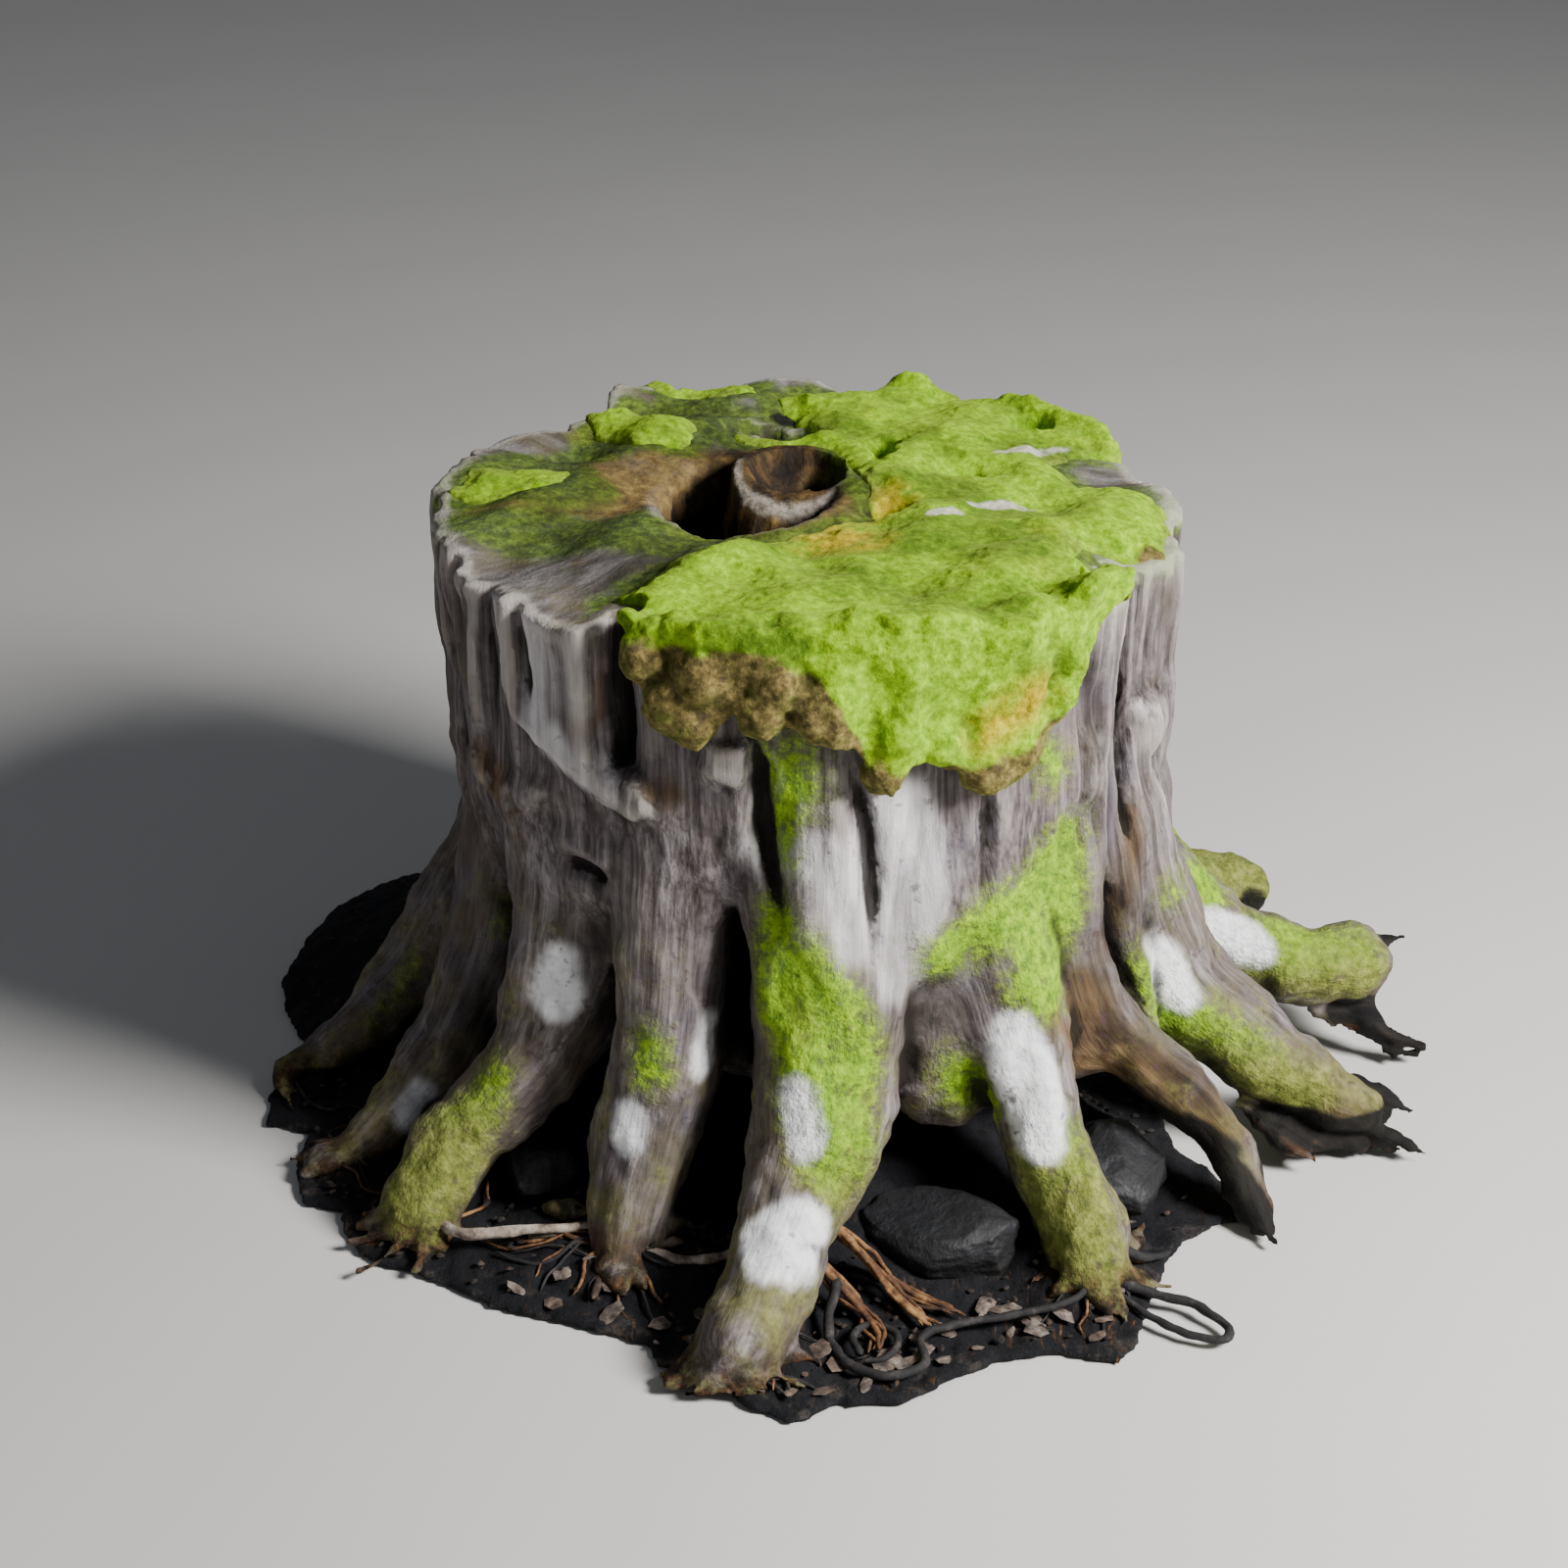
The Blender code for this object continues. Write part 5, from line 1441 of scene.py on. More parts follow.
def billow(value):
    """Rounded ridges with narrow creases between them, from swells about zero."""
    return np.sqrt(value * value + 0.003) - 0.25


def wood_relief(points, normals, grain, face):
    """(how far each point of the skin moves out, how deep the drying checks are there)."""
    reach, azimuth = polar(points)
    z = points[:, 2]
    front = smooth_step(azimuth, -141, -134) * (1.0 - smooth_step(azimuth, -58, -46))
    high = smooth_step(z, 0.21, 0.33)
    fluted = high * (1.0 - 0.85 * front) * (1.0 - 0.75 * smooth_step(z, 0.418, 0.444))
    flutes = swell(grain, 0.0175, 78, (1.0, 1.0, 34.0)) + 0.20 * swell(grain, 0.012, 79, (1.0, 1.0, 9.0))
    bundles = swell(grain, 0.0115, 71, (1.0, 1.0, 26.0))
    fibres = swell(grain, 0.0070, 72, (1.0, 1.0, 22.0))
    patches = smooth_step(swell(grain, 0.05, 73, (1.0, 1.0, 5.0)), -0.20, 0.30)
    checks = groove_lines(bundles, 0.09) * patches * (0.20 + 0.80 * high) * (1.0 - 0.55 * front)
    checks = np.maximum(checks, groove_lines(flutes, 0.10) * fluted) * (1.0 - face)
    side = 0.0105 * fluted * billow(flutes) + 0.0034 * (0.25 + 0.75 * high) * (1.0 - 0.45 * front) * billow(bundles)
    side += 0.0008 * (0.3 + 0.7 * high) * fibres - 0.0014 * checks
    side *= 1.0 - 0.8 * smooth_step(np.abs(normals[:, 2]), 0.30, 0.65)
    low = 1.0 - smooth_step(z, 0.12, 0.26)
    lumps = (0.0010 + 0.0014 * low) * swell(points, 0.030, 74) + (0.0004 + 0.0009 * low) * swell(points, 0.011, 75)
    ripple = swell(points, 0.010, 77, (3.0, 0.8, 1.0))
    spokes = swell(rays_of(points), 0.009, 76)
    inner = 1.0 - smooth_step(reach, 0.19, 0.24)
    top = 0.0002 * ripple + 0.0006 * spokes - 0.0010 * inner * groove_lines(spokes, 0.14)
    return lumps + side * (1.0 - face) + top * face, checks


def rays_of(points):
    """Places in which a noise draws streaks that run out from the heart."""
    away = points[:, :2] + np.array((0.020, -0.020))
    reach = np.maximum(np.hypot(away[:, 0], away[:, 1]), 0.02)
    return np.stack([away[:, 0] / reach * 0.14, away[:, 1] / reach * 0.14, reach * 0.16], -1)


def cup_lip(points):
    """1 on the rim of the cup, 0 away from it."""
    away = np.hypot(points[:, 0] - CUP_MOUTH[0], points[:, 1] - CUP_MOUTH[1])
    lift = np.abs(points[:, 2] - CUP_RIM[0] - CUP_RIM[1] * (points[:, 1] - CUP_MOUTH[1]))
    ring = smooth_step(away, 0.033, 0.038) * (1.0 - smooth_step(away, 0.045, 0.050))
    return ring * (1.0 - smooth_step(lift, 0.0020, 0.0045))


def build_wood():
    low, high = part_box("stump")
    low, cell = np.array(low) - 0.012, WOOD_CELL
    corner, values = dense_field(wood_field, low, np.array(high) + 0.012, cell)
    points, quads = keep_connected(*surface_of(corner, cell, values))
    normals = point_normals(points, quads)
    grain = grain_of(points)
    reach, azimuth = polar(points)
    z = points[:, 2]
    face = smooth_step(normals[:, 2], 0.45, 0.8) * smooth_step(z, 0.395, 0.415)
    face = np.maximum(face, smooth_step(z, 0.40, 0.43) * (reach < 0.20))
    heart = 1.0 - smooth_step(np.hypot(points[:, 0] + 0.028, points[:, 1] - 0.022), 0.064, 0.100)
    heart = heart * smooth_step(z, 0.33, 0.36)
    relief, checks = wood_relief(points, normals, grain, face * (1.0 - 0.6 * heart))
    tight = crowding(corner, cell, values, points, normals, 0.010)
    wide = crowding(corner, cell, values, points, normals, 0.032)
    huge = crowding(corner, cell, values, points, normals, 0.080)
    # surfaces that face in under the root arches, for the painted shade there
    away = points[:, :2] / np.maximum(reach, 0.01)[:, None]
    inward = -(normals[:, :2] * away).sum(1) - 0.6 * np.minimum(normals[:, 2], 0.0)
    arch = smooth_step(inward, 0.10, 0.75) * (1.0 - smooth_step(z, 0.14, 0.22))
    points = points + normals * (relief - 0.0004)[:, None]
    points = np.minimum(np.maximum(points, np.array(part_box("stump")[0])), np.array(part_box("stump")[1]))
    normals = point_normals(points, quads)
    halo = np.zeros(len(points))
    top = np.nonzero(z > 0.40)[0]
    for name in MOSS_PATCHES:
        halo[top] = np.maximum(halo[top], 0.85 * smooth_step(moss_cover(points[top], name)[0], -0.034, 0.0))
    marks = {
        "grain": grain,
        "rays": rays_of(points),
        "cavity": np.clip(2.4 * (tight - 0.50) + 1.3 * (wide - 0.50), -1.0, 1.0),
        "root_arch_shade": np.clip(smooth_step(huge, 0.36, 0.70) * (1.0 - smooth_step(z, 0.16, 0.26)) + 0.9 * arch, 0.0, 1.0),
        "checks": checks,
        "face": face,
        "shade": np.clip(2.0 * (wide - 0.52) + 1.2 * (huge - 0.50), 0.0, 1.0),
        "film": patch_mask(points, FILM, -0.022, 0.024),
        "face_film": np.maximum(patch_mask(points, FACE_FILM, -0.018, 0.026), halo) * smooth_step(z, 0.405, 0.425),
        "ochre": patch_mask(points, OCHRE, -0.022, 0.020) * smooth_step(z, 0.395, 0.415),
        "chalk_and_highlight": patch_mask(points, CHALK_AND_HIGHLIGHT, -0.013, 0.018),
        "brown": patch_mask(points, BROWN, -0.016, 0.020),
        "pale": patch_mask(points, PALE, -0.012, 0.018),
        "dark_wood_and_hole_shade": patch_mask(points, DARK_WOOD_AND_HOLE_SHADE, -0.008, 0.010),
        "rot": heart,
        "lip": cup_lip(points),
    }
    middle = points[quads].mean(1)
    on_face = (middle[:, 2] > 0.418) | ((np.hypot(middle[:, 0], middle[:, 1]) < 0.16) & (middle[:, 2] > 0.30))
    front = middle[:, 1] < -0.02
    buried = (middle[:, 2] < 0.075) & (np.hypot(middle[:, 0], middle[:, 1]) < 0.10)
    parts = {
        "stump_face": on_face,
        "stump_front": ~on_face & front & ~buried,
        "stump_back": ~on_face & ~front & ~buried,
    }
    for name, chosen in parts.items():
        used = np.unique(quads[chosen])
        place, faces = drop_unused(points, quads[chosen])
        obj = new_piece(name, place, faces, ("stump",), normals[used])
        for key, values_of in marks.items():
            mark(obj, key, values_of[used])
        obj.data.materials.append(wood_material())


def build_moss():
    for name in MOSS_PATCHES:
        low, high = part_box(name)
        cell = MOSS_CELL
        corner, values = dense_field(
            lambda p, name=name: moss_field(p, name), np.array(low) - 0.012, np.array(high) + 0.012, cell
        )
        points, quads = keep_connected(*surface_of(corner, cell, values), MOSS_LEAST)
        shown = wood_field(points) > -0.0035
        points, quads = drop_unused(points, quads[shown[quads].any(1)])
        normals = point_normals(points, quads)
        reach, azimuth = polar(points)
        line = np.interp(azimuth, *zip(*GREEN_LINE), left=0.42, right=0.42)
        dead = smooth_step(line - points[:, 2] + 0.006 * swell(points, 0.016, 57), -0.009, 0.010)
        dead = dead * smooth_step(reach, 0.225, 0.240) if name == "moss_mat" else dead * 0.0
        close = crowding(corner, cell, values, points, normals, 0.007)
        wide = crowding(corner, cell, values, points, normals, 0.018)
        cover, _ = moss_cover(points, name)
        marks = {
            "dead": dead,
            "cavity": np.clip(2.0 * (wide - 0.5) + 1.2 * (close - 0.5), -1.0, 1.0),
            "gold": patch_mask(points, MOSS_GOLD, -0.010, 0.020),
            "dark": patch_mask(points, MOSS_DARK, -0.008, 0.022),
            "bare": patch_mask(points, MOSS_BARE, -0.003, 0.006),
            "thin": (1.0 - smooth_step(cover, -0.003, 0.014)) * smooth_step(points[:, 2], 0.41, 0.43),
        }
        obj = new_piece(f"{name}_cushion", points, quads, (name,))
        for key, found in marks.items():
            mark(obj, key, found)
        obj.data.materials.append(moss_material())


def build_soil():
    low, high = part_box("soil")
    low, high = np.array(low) - 0.008, np.array(high) + 0.008
    corner, values = dense_field(soil_field, low, high, SOIL_CELL)
    points, quads = keep_connected(*surface_of(corner, SOIL_CELL, values))
    points[:, 2] = np.maximum(points[:, 2], 0.0)
    obj = new_piece("soil_crust", points, quads, ("soil",))
    reach, azimuth = polar(points)
    mark(obj, "rim", 1.0 - smooth_step(np.interp(azimuth, *zip(*SOIL_EDGE)) - reach, 0.004, 0.030))
    obj.data.materials.append(soil_material())


def build_stones():
    for number, (name, (centre, radii, turn)) in enumerate(STONES.items()):
        low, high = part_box(name)
        base = bpy.data.meshes.new("ball")
        import_ball(base)
        ball = np.zeros(len(base.vertices) * 3, np.float32)
        base.vertices.foreach_get("co", ball)
        ball = broken(ball.reshape(-1, 3).astype(float), np.random.default_rng(40 + number))
        faces = np.zeros(len(base.polygons) * 3, np.int32)
        base.polygons.foreach_get("vertices", faces)
        bpy.data.meshes.remove(base)
        spin = math.radians(turn)
        place = ball + np.array(centre) * 40.0
        rough = 1.06 + 0.09 * swell(place, 0.80, 81) + 0.035 * swell(place, 0.30, 83) + 0.012 * swell(place, 0.12, 82)
        p = ball * np.array(radii) * rough[:, None]
        x = p[:, 0] * math.cos(spin) - p[:, 1] * math.sin(spin)
        y = p[:, 0] * math.sin(spin) + p[:, 1] * math.cos(spin)
        p = np.stack([x, y, p[:, 2]], -1) + np.array(centre)
        p = np.clip(p, np.array(low) - 0.02, np.array(high) + 0.004)
        p[:, 2] = np.maximum(p[:, 2], 0.003)
        obj = new_piece(f"{name}_rock", p, faces.reshape(-1, 3), (name,))
        obj.data.materials.append(stone_material())


def broken(ball, rng):
    """Flattens a ball to the broken faces of a rock."""
    for _ in range(ROCK_FACES):
        across = rng.normal(size=3)
        across /= np.linalg.norm(across)
        past = np.maximum(ball @ across - rng.uniform(0.62, 0.90), 0.0)
        ball = ball - 0.85 * past[:, None] * across
    return ball


def import_ball(mesh):
    made = bmesh.new()
    bmesh.ops.create_icosphere(made, subdivisions=6, radius=1.0)
    made.to_mesh(mesh)
    made.free()


def strand(points, radius, sides, seed, step=0.0035):
    """(points, quads) of a wandering round strand, tapered to its end."""
    line = spline([(*p, 1.0) for p in points], 12)[:, :3]
    length = np.concatenate([[0.0], np.cumsum(np.linalg.norm(np.diff(line, axis=0), axis=1))])
    count = max(4, int(length[-1] / step))
    even = np.linspace(0.0, length[-1], count)
    line = np.stack([np.interp(even, length, line[:, n]) for n in range(3)], -1)
    line[:, :2] += 0.0012 * np.stack([swell(line, 0.012, seed), swell(line, 0.012, seed + 1)], -1)
    along = np.gradient(line, axis=0)
    along /= np.linalg.norm(along, axis=1, keepdims=True)
    side = np.cross(along, (0.0, 0.0, 1.0))
    side /= np.maximum(np.linalg.norm(side, axis=1, keepdims=True), 1e-6)
    up = np.cross(side, along)
    share = np.linspace(0.0, 1.0, count)
    girth = radius * (1.0 - 0.35 * share) * (1.0 + 0.22 * swell(line, 0.010, seed + 2))
    girth[0] *= 0.3
    girth[-1] *= 0.2
    turns = 2 * np.pi * np.arange(sides) / sides
    ring = np.cos(turns)[None, :, None] * side[:, None] + np.sin(turns)[None, :, None] * up[:, None]
    places = (line[:, None] + ring * girth[:, None, None]).reshape(-1, 3)
    here = np.arange(count - 1)[:, None] * sides + np.arange(sides)[None]
    after = np.arange(count - 1)[:, None] * sides + (np.arange(sides)[None] + 1) % sides
    quads = np.stack([here, after, after + sides, here + sides], -1).reshape(-1, 4)
    return places, quads


def join_parts(parts):
    """One mesh from many (points, faces)."""
    points, faces, count = [], [], 0
    for p, f in parts:
        points.append(p)
        faces.append(f + count)
        count += len(p)
    return np.vstack(points), np.vstack(faces)


def build_rootlets():
    parts, tones = [], []
    sides_of_bundle = np.random.default_rng(6)
    for number, (radius, tone, points) in enumerate(ROOTLETS):
        parts.append(strand(points, radius, 10, 200 + 5 * number))
        tones.append(tone)
        for twin in range(BUNDLE if 0.4 < tone < 0.6 else 0):
            aside = sides_of_bundle.normal(0.0, 0.0042, (len(points), 3)) * (1.0, 1.0, 0.25)
            aside[0] = 0.3 * aside[0]
            parts.append(strand(np.array(points) + aside, radius * 0.62, 8, 260 + 5 * number + twin))
            tones.append(tone - 0.12 + 0.08 * twin)
    rng = np.random.default_rng(5)
    names = list(ROOTS)
    for number in range(FINE_STRANDS):
        foot = ROOTS[names[rng.integers(0, 7)] if number % 3 else names[rng.integers(0, 13)]][-1]
        turn = math.atan2(foot[1], foot[0]) + rng.normal(0.0, 0.9)
        place = np.array(foot[:2]) + 0.012 * np.array((math.cos(turn), math.sin(turn)))
        points = []
        for _ in range(rng.integers(5, 10)):
            x, y = place
            if math.hypot(x, y) > np.interp(math.degrees(math.atan2(y, x)), *zip(*SOIL_EDGE)) - 0.012:
                break
            points.append((x, y, float(soil_height(np.array([x]), np.array([y]))[0]) + 0.0005))
            turn += rng.normal(0.0, 0.45)
            place = place + rng.uniform(0.008, 0.014) * np.array((math.cos(turn), math.sin(turn)))
        if len(points) > 3:
            parts.append(strand(points, rng.uniform(0.0009, 0.0018), 6, 300 + 5 * number, 0.004))
            tones.append(rng.uniform(0.0, 0.50))
    points, faces = join_parts(parts)
    points[:, 2] = np.maximum(points[:, 2], 0.0015)
    obj = new_piece("rootlets", points, faces)
    mark(obj, "tone", np.repeat(tones, [len(places) for places, _ in parts]))
    obj.data.materials.append(rootlet_material())


def build_litter():
    """Leaf scraps near the front edge of the soil, and crumbs of bark and grit all over it."""
    rng = np.random.default_rng(8)
    points, faces, tones, count = [], [], [], 0
    for number in range(LEAF_SCRAPS + CRUMBS):
        leaf = number < LEAF_SCRAPS
        azimuth = rng.normal(*LEAF_SPREAD) if leaf else rng.uniform(-180.0, 180.0)
        edge = np.interp(azimuth, *zip(*SOIL_EDGE))
        away = edge - (rng.uniform(0.010, 0.050) if leaf else rng.uniform(0.006, 0.130))
        x, y = away * math.cos(math.radians(azimuth)), away * math.sin(math.radians(azimuth))
        z = float(soil_height(np.array([x]), np.array([y]))[0])
        size = rng.uniform(0.004, 0.012) if leaf else rng.uniform(0.0014, 0.0042)
        sides = rng.integers(6, 9)
        turns = 2 * np.pi * (np.arange(sides) + rng.uniform(-0.25, 0.25, sides)) / sides
        spin, slim = rng.uniform(0.0, np.pi), rng.uniform(0.45, 0.9)
        ring = np.stack([np.cos(turns), slim * np.sin(turns)], -1) * (size * rng.uniform(0.65, 1.0, sides))[:, None]
        lift = 0.0012 + 0.10 * size * rng.uniform(-1.0, 1.0, sides)
        slope = rng.normal(0.0, 0.16, 2)
        turned = np.stack([ring[:, 0] * math.cos(spin) - ring[:, 1] * math.sin(spin), ring[:, 0] * math.sin(spin) + ring[:, 1] * math.cos(spin)], -1)
        rim = np.column_stack([turned + (x, y), z + lift + turned @ slope])
        hub = np.array([[x, y, z + 0.0012 + (0.16 * size if leaf else 0.55 * size)]])
        points.append(np.vstack([rim, hub]))
        faces.append(np.stack([np.arange(sides), (np.arange(sides) + 1) % sides, np.full(sides, sides)], -1) + count)
        tones.append(np.full(sides + 1, rng.uniform(0.55, 1.0) if leaf else rng.uniform(0.0, 0.55)))
        count += sides + 1
    points = np.vstack(points)
    points[:, 2] = np.maximum(points[:, 2], 0.001)
    obj = new_piece("litter", points, np.vstack(faces))
    mark(obj, "tone", np.concatenate(tones))
    obj.data.materials.append(litter_material())


class Nodes:
    """Short ways to add nodes to a material."""

    def __init__(self, name):
        old = bpy.data.materials.get(name)
        self.done = old is not None
        self.material = old or bpy.data.materials.new(name)
        if self.done:
            return
        self.material.use_nodes = True
        self.tree = self.material.node_tree
        self.shader = self.tree.nodes["Principled BSDF"]

    def put(self, socket, value):
        if isinstance(value, bpy.types.NodeSocket):
            self.tree.links.new(value, socket)
        else:
            socket.default_value = value

    def new(self, kind, inputs=(), **settings):
        node = self.tree.nodes.new(kind)
        for key, value in settings.items():
            setattr(node, key, value)
        for key, value in dict(inputs).items():
            self.put(node.inputs[key], value)
        return node

    def attribute(self, name, output="Fac"):
        return self.new("ShaderNodeAttribute", attribute_name=name).outputs[output]

    def place(self):
        return self.new("ShaderNodeTexCoord").outputs["Object"]

    def stretched(self, vector, scale):
        return self.new("ShaderNodeMapping", {"Vector": vector, "Scale": scale}).outputs["Vector"]

    def noise(self, vector, scale, detail=4.0, roughness=0.55, distortion=0.0):
        node = self.new(
            "ShaderNodeTexNoise",
            {"Vector": vector, "Scale": scale, "Detail": detail, "Roughness": roughness, "Distortion": distortion},
        )
        return node.outputs["Fac"]

    def math(self, operation, a, b=0.0, clamp=False):
        return self.new("ShaderNodeMath", {0: a, 1: b}, operation=operation, use_clamp=clamp).outputs[0]

    def span(self, value, low, high, to_low=0.0, to_high=1.0):
        node = self.new("ShaderNodeMapRange", {"Value": value, "From Min": low, "From Max": high, "To Min": to_low, "To Max": to_high})
        node.interpolation_type = "SMOOTHSTEP"
        return node.outputs["Result"]

    def mix(self, factor, a, b, mode="MIX"):
        node = self.new("ShaderNodeMix", data_type="RGBA", blend_type=mode)
        self.put(node.inputs[0], factor)
        self.put(node.inputs[6], a)
        self.put(node.inputs[7], b)
        return node.outputs[2]

    def ramp(self, value, stops):
        node = self.new("ShaderNodeValToRGB", {"Fac": value})
        while len(node.color_ramp.elements) < len(stops):
            node.color_ramp.elements.new(0.5)
        for element, (place, colour) in zip(node.color_ramp.elements, stops):
            element.position = place
            element.color = colour
        return node.outputs["Color"]

    def bump(self, height, strength, distance, normal=None):
        inputs = {"Height": height, "Strength": strength, "Distance": distance}
        if normal is not None:
            inputs["Normal"] = normal
        return self.new("ShaderNodeBump", inputs).outputs["Normal"]


def rgb(text):
    """Linear colour from a six-digit screen colour."""
    found = []
    for n in (0, 2, 4):
        c = int(text[n : n + 2], 16) / 255.0
        found.append(c / 12.92 if c <= 0.04045 else ((c + 0.055) / 1.055) ** 2.4)
    return (*found, 1.0)


def ragged(n, name, place, scale, amount, low, high):
    """A painted patch with a ragged edge."""
    noise = n.math("SUBTRACT", n.noise(place, scale, 6.0, 0.66), 0.5)
    return n.span(n.math("ADD", n.attribute(name), n.math("MULTIPLY", noise, amount)), low, high)


def wood_material():
    n = Nodes("wood_weathered")
    if n.done:
        return n.material
    place = n.place()
    height = n.new("ShaderNodeSeparateXYZ", {"Vector": place}).outputs["Z"]
    grain = n.attribute("grain", "Vector")
    cavity = n.attribute("cavity")
    rot = n.attribute("rot")
    streaks = n.noise(n.stretched(grain, (1.0, 1.0, 0.045)), 70.0, 6.0, 0.60, 0.15)
    fibres = n.noise(n.stretched(grain, (1.0, 1.0, 0.022)), 300.0, 4.0, 0.6)
    stains = n.noise(n.stretched(grain, (1.0, 1.0, 0.10)), 20.0, 5.0, 0.6, 0.3)
    blotch = n.noise(place, 13.0, 5.0, 0.62)
    fine = n.noise(place, 120.0, 5.0, 0.66)
    tiny = n.noise(place, 260.0, 4.0, 0.66)
    colour = wood_grey(n, streaks, fibres, stains, blotch, fine, place)
    colour = n.mix(n.attribute("face"), colour, wood_end(n, place))
    colour = wood_stains(n, colour, place, height, streaks, fine)
    rot_colour = n.ramp(
        n.noise(n.stretched(place, (1.0, 1.0, 0.5)), 62.0, 6.0, 0.68),
        ((0.30, rgb("0b0703")), (0.46, rgb("2c1e0d")), (0.60, rgb("5a4420")), (0.76, rgb("8f763f"))),
    )
    upper_wall = n.math("MULTIPLY", ragged(n, "ochre", place, 40.0, 1.0, 0.15, 0.95), n.span(height, 0.395, 0.430))
    rotten = n.math("MULTIPLY", rot, n.math("SUBTRACT", 0.96, n.math("MULTIPLY", upper_wall, 0.75)))
    colour = n.mix(rotten, colour, rot_colour)
    lip = n.math("MULTIPLY", n.attribute("lip"), n.span(fine, 0.30, 0.54, 0.45, 0.95))
    colour = n.mix(lip, colour, n.ramp(fine, ((0.35, rgb("655c4f")), (0.6, rgb("a0988c")))))
    film, colour = wood_film(n, colour, place, height, blotch, fine)
    colour = wood_crusts_and_highlights(n, colour, place, height, grain)
    shade = n.math("MULTIPLY", n.attribute("shade"), n.span(n.noise(place, 30.0, 4.0), 0.30, 0.60, 0.65, 0.95))
    colour = n.mix(shade, colour, rgb("352c26"), "MULTIPLY")
    # painted shade in the clefts, drying checks and hollows and under the arches, and soil splashed on the feet
    deep = n.math("ADD", n.span(cavity, 0.08, 0.55), n.math("MULTIPLY", n.attribute("checks"), 0.62), True)
    colour = n.mix(n.math("MULTIPLY", deep, 0.92), colour, rgb("15100c"))
    ridge = n.math("MULTIPLY", n.span(cavity, -0.10, -0.45, 0.0, 0.34), n.span(height, 0.20, 0.32))
    ridge = n.math("MULTIPLY", ridge, n.math("SUBTRACT", 1.0, rot))
    colour = n.mix(ridge, colour, rgb("e0d8cf"))
    # painted shade low among the roots and under their arches
    root_arch_shade = n.math("MULTIPLY", n.attribute("root_arch_shade"), n.span(n.noise(place, 34.0, 5.0), 0.22, 0.55, 0.55, 1.0))
    colour = n.mix(n.math("MULTIPLY", root_arch_shade, 0.92), colour, rgb("15100b"))
    foot = n.math("MULTIPLY", n.span(height, 0.044, 0.014), n.span(n.noise(place, 64.0, 6.0, 0.7), 0.34, 0.56), True)
    foot_colour = n.ramp(
        n.noise(place, 100.0, 5.0, 0.7),
        ((0.32, rgb("0d0a09")), (0.48, rgb("2c1e15")), (0.62, rgb("5e432b")), (0.78, rgb("a88e70"))),
    )
    colour = n.mix(foot, colour, foot_colour)
    # near-black wood at the torn ends, and painted shade in the holes through the moss
    dark_and_shade_edge = n.math("ADD", n.attribute("dark_wood_and_hole_shade"), n.math("MULTIPLY", n.math("SUBTRACT", streaks, 0.5), 1.3))
    dark_wood_and_hole_shade = n.span(dark_and_shade_edge, 0.25, 0.70)
    dark_and_shade_colour = n.ramp(streaks, ((0.38, rgb("08080a")), (0.60, rgb("171513")), (0.80, rgb("5c3a1e"))))
    colour = n.mix(n.math("MULTIPLY", dark_wood_and_hole_shade, 0.97), colour, dark_and_shade_colour)
    n.put(n.shader.inputs["Base Color"], colour)
    n.put(n.shader.inputs["Roughness"], n.span(streaks, 0.3, 0.7, 0.92, 0.78))
    n.put(n.shader.inputs["Specular IOR Level"], 0.25)
    normal = n.bump(streaks, 0.50, 0.0030)
    normal = n.bump(fibres, 0.55, 0.0016, normal)
    normal = n.bump(fine, 0.30, 0.0022, normal)
    normal = n.bump(tiny, 0.35, 0.0012, normal)
    mossy = n.math("MULTIPLY", n.noise(place, 230.0, 4.0, 0.6), film)
    normal = n.bump(mossy, 0.8, 0.0035, normal)
    n.put(n.shader.inputs["Normal"], normal)
    return n.material


def wood_grey(n, streaks, fibres, stains, blotch, fine, place):
    """Weathered grey wood, streaked along its fibres."""
    colour = n.ramp(
        streaks,
        (
            (0.24, rgb("38312f")),
            (0.37, rgb("625a5a")),
            (0.50, rgb("827a7b")),
            (0.64, rgb("9e9799")),
            (0.82, rgb("bdb7b8")),
        ),
    )
    colour = n.mix(n.span(fibres, 0.34, 0.64, 0.70, 0.0), colour, rgb("6a6160"), "MULTIPLY")
    colour = n.mix(n.span(fine, 0.34, 0.60, 0.30, 0.0), colour, rgb("857b78"), "MULTIPLY")
    colour = n.mix(n.span(stains, 0.50, 0.68, 0.0, 0.60), colour, rgb("54483f"))
    colour = n.mix(n.span(blotch, 0.54, 0.74, 0.0, 0.40), colour, rgb("857460"))
    colour = n.mix(n.span(n.noise(place, 19.0, 3.0), 0.52, 0.74, 0.0, 0.40), colour, rgb("6a6474"))
    # bleached wood, partly a painted highlight
    pale = n.math("ADD", n.attribute("pale"), n.math("SUBTRACT", streaks, 0.5))
    bleached_and_highlight = n.ramp(streaks, ((0.30, rgb("8f8a8e")), (0.50, rgb("c3bfc2")), (0.70, rgb("e9e6e6"))))
    return n.mix(n.span(pale, 0.12, 0.85, 0.0, 0.88), colour, bleached_and_highlight)


def wood_end(n, place):
    """The cut face, with grey streaks that run out from the heart."""
    colour = n.ramp(
        n.noise(n.attribute("rays", "Vector"), 95.0, 6.0, 0.62, 0.5),
        ((0.28, rgb("2b2724")), (0.44, rgb("5a5552")), (0.58, rgb("7e7a79")), (0.78, rgb("a5a1a0"))),
    )
    return n.mix(n.span(n.noise(place, 20.0, 5.0, 0.6), 0.42, 0.64, 0.0, 0.75), colour, rgb("625a42"))


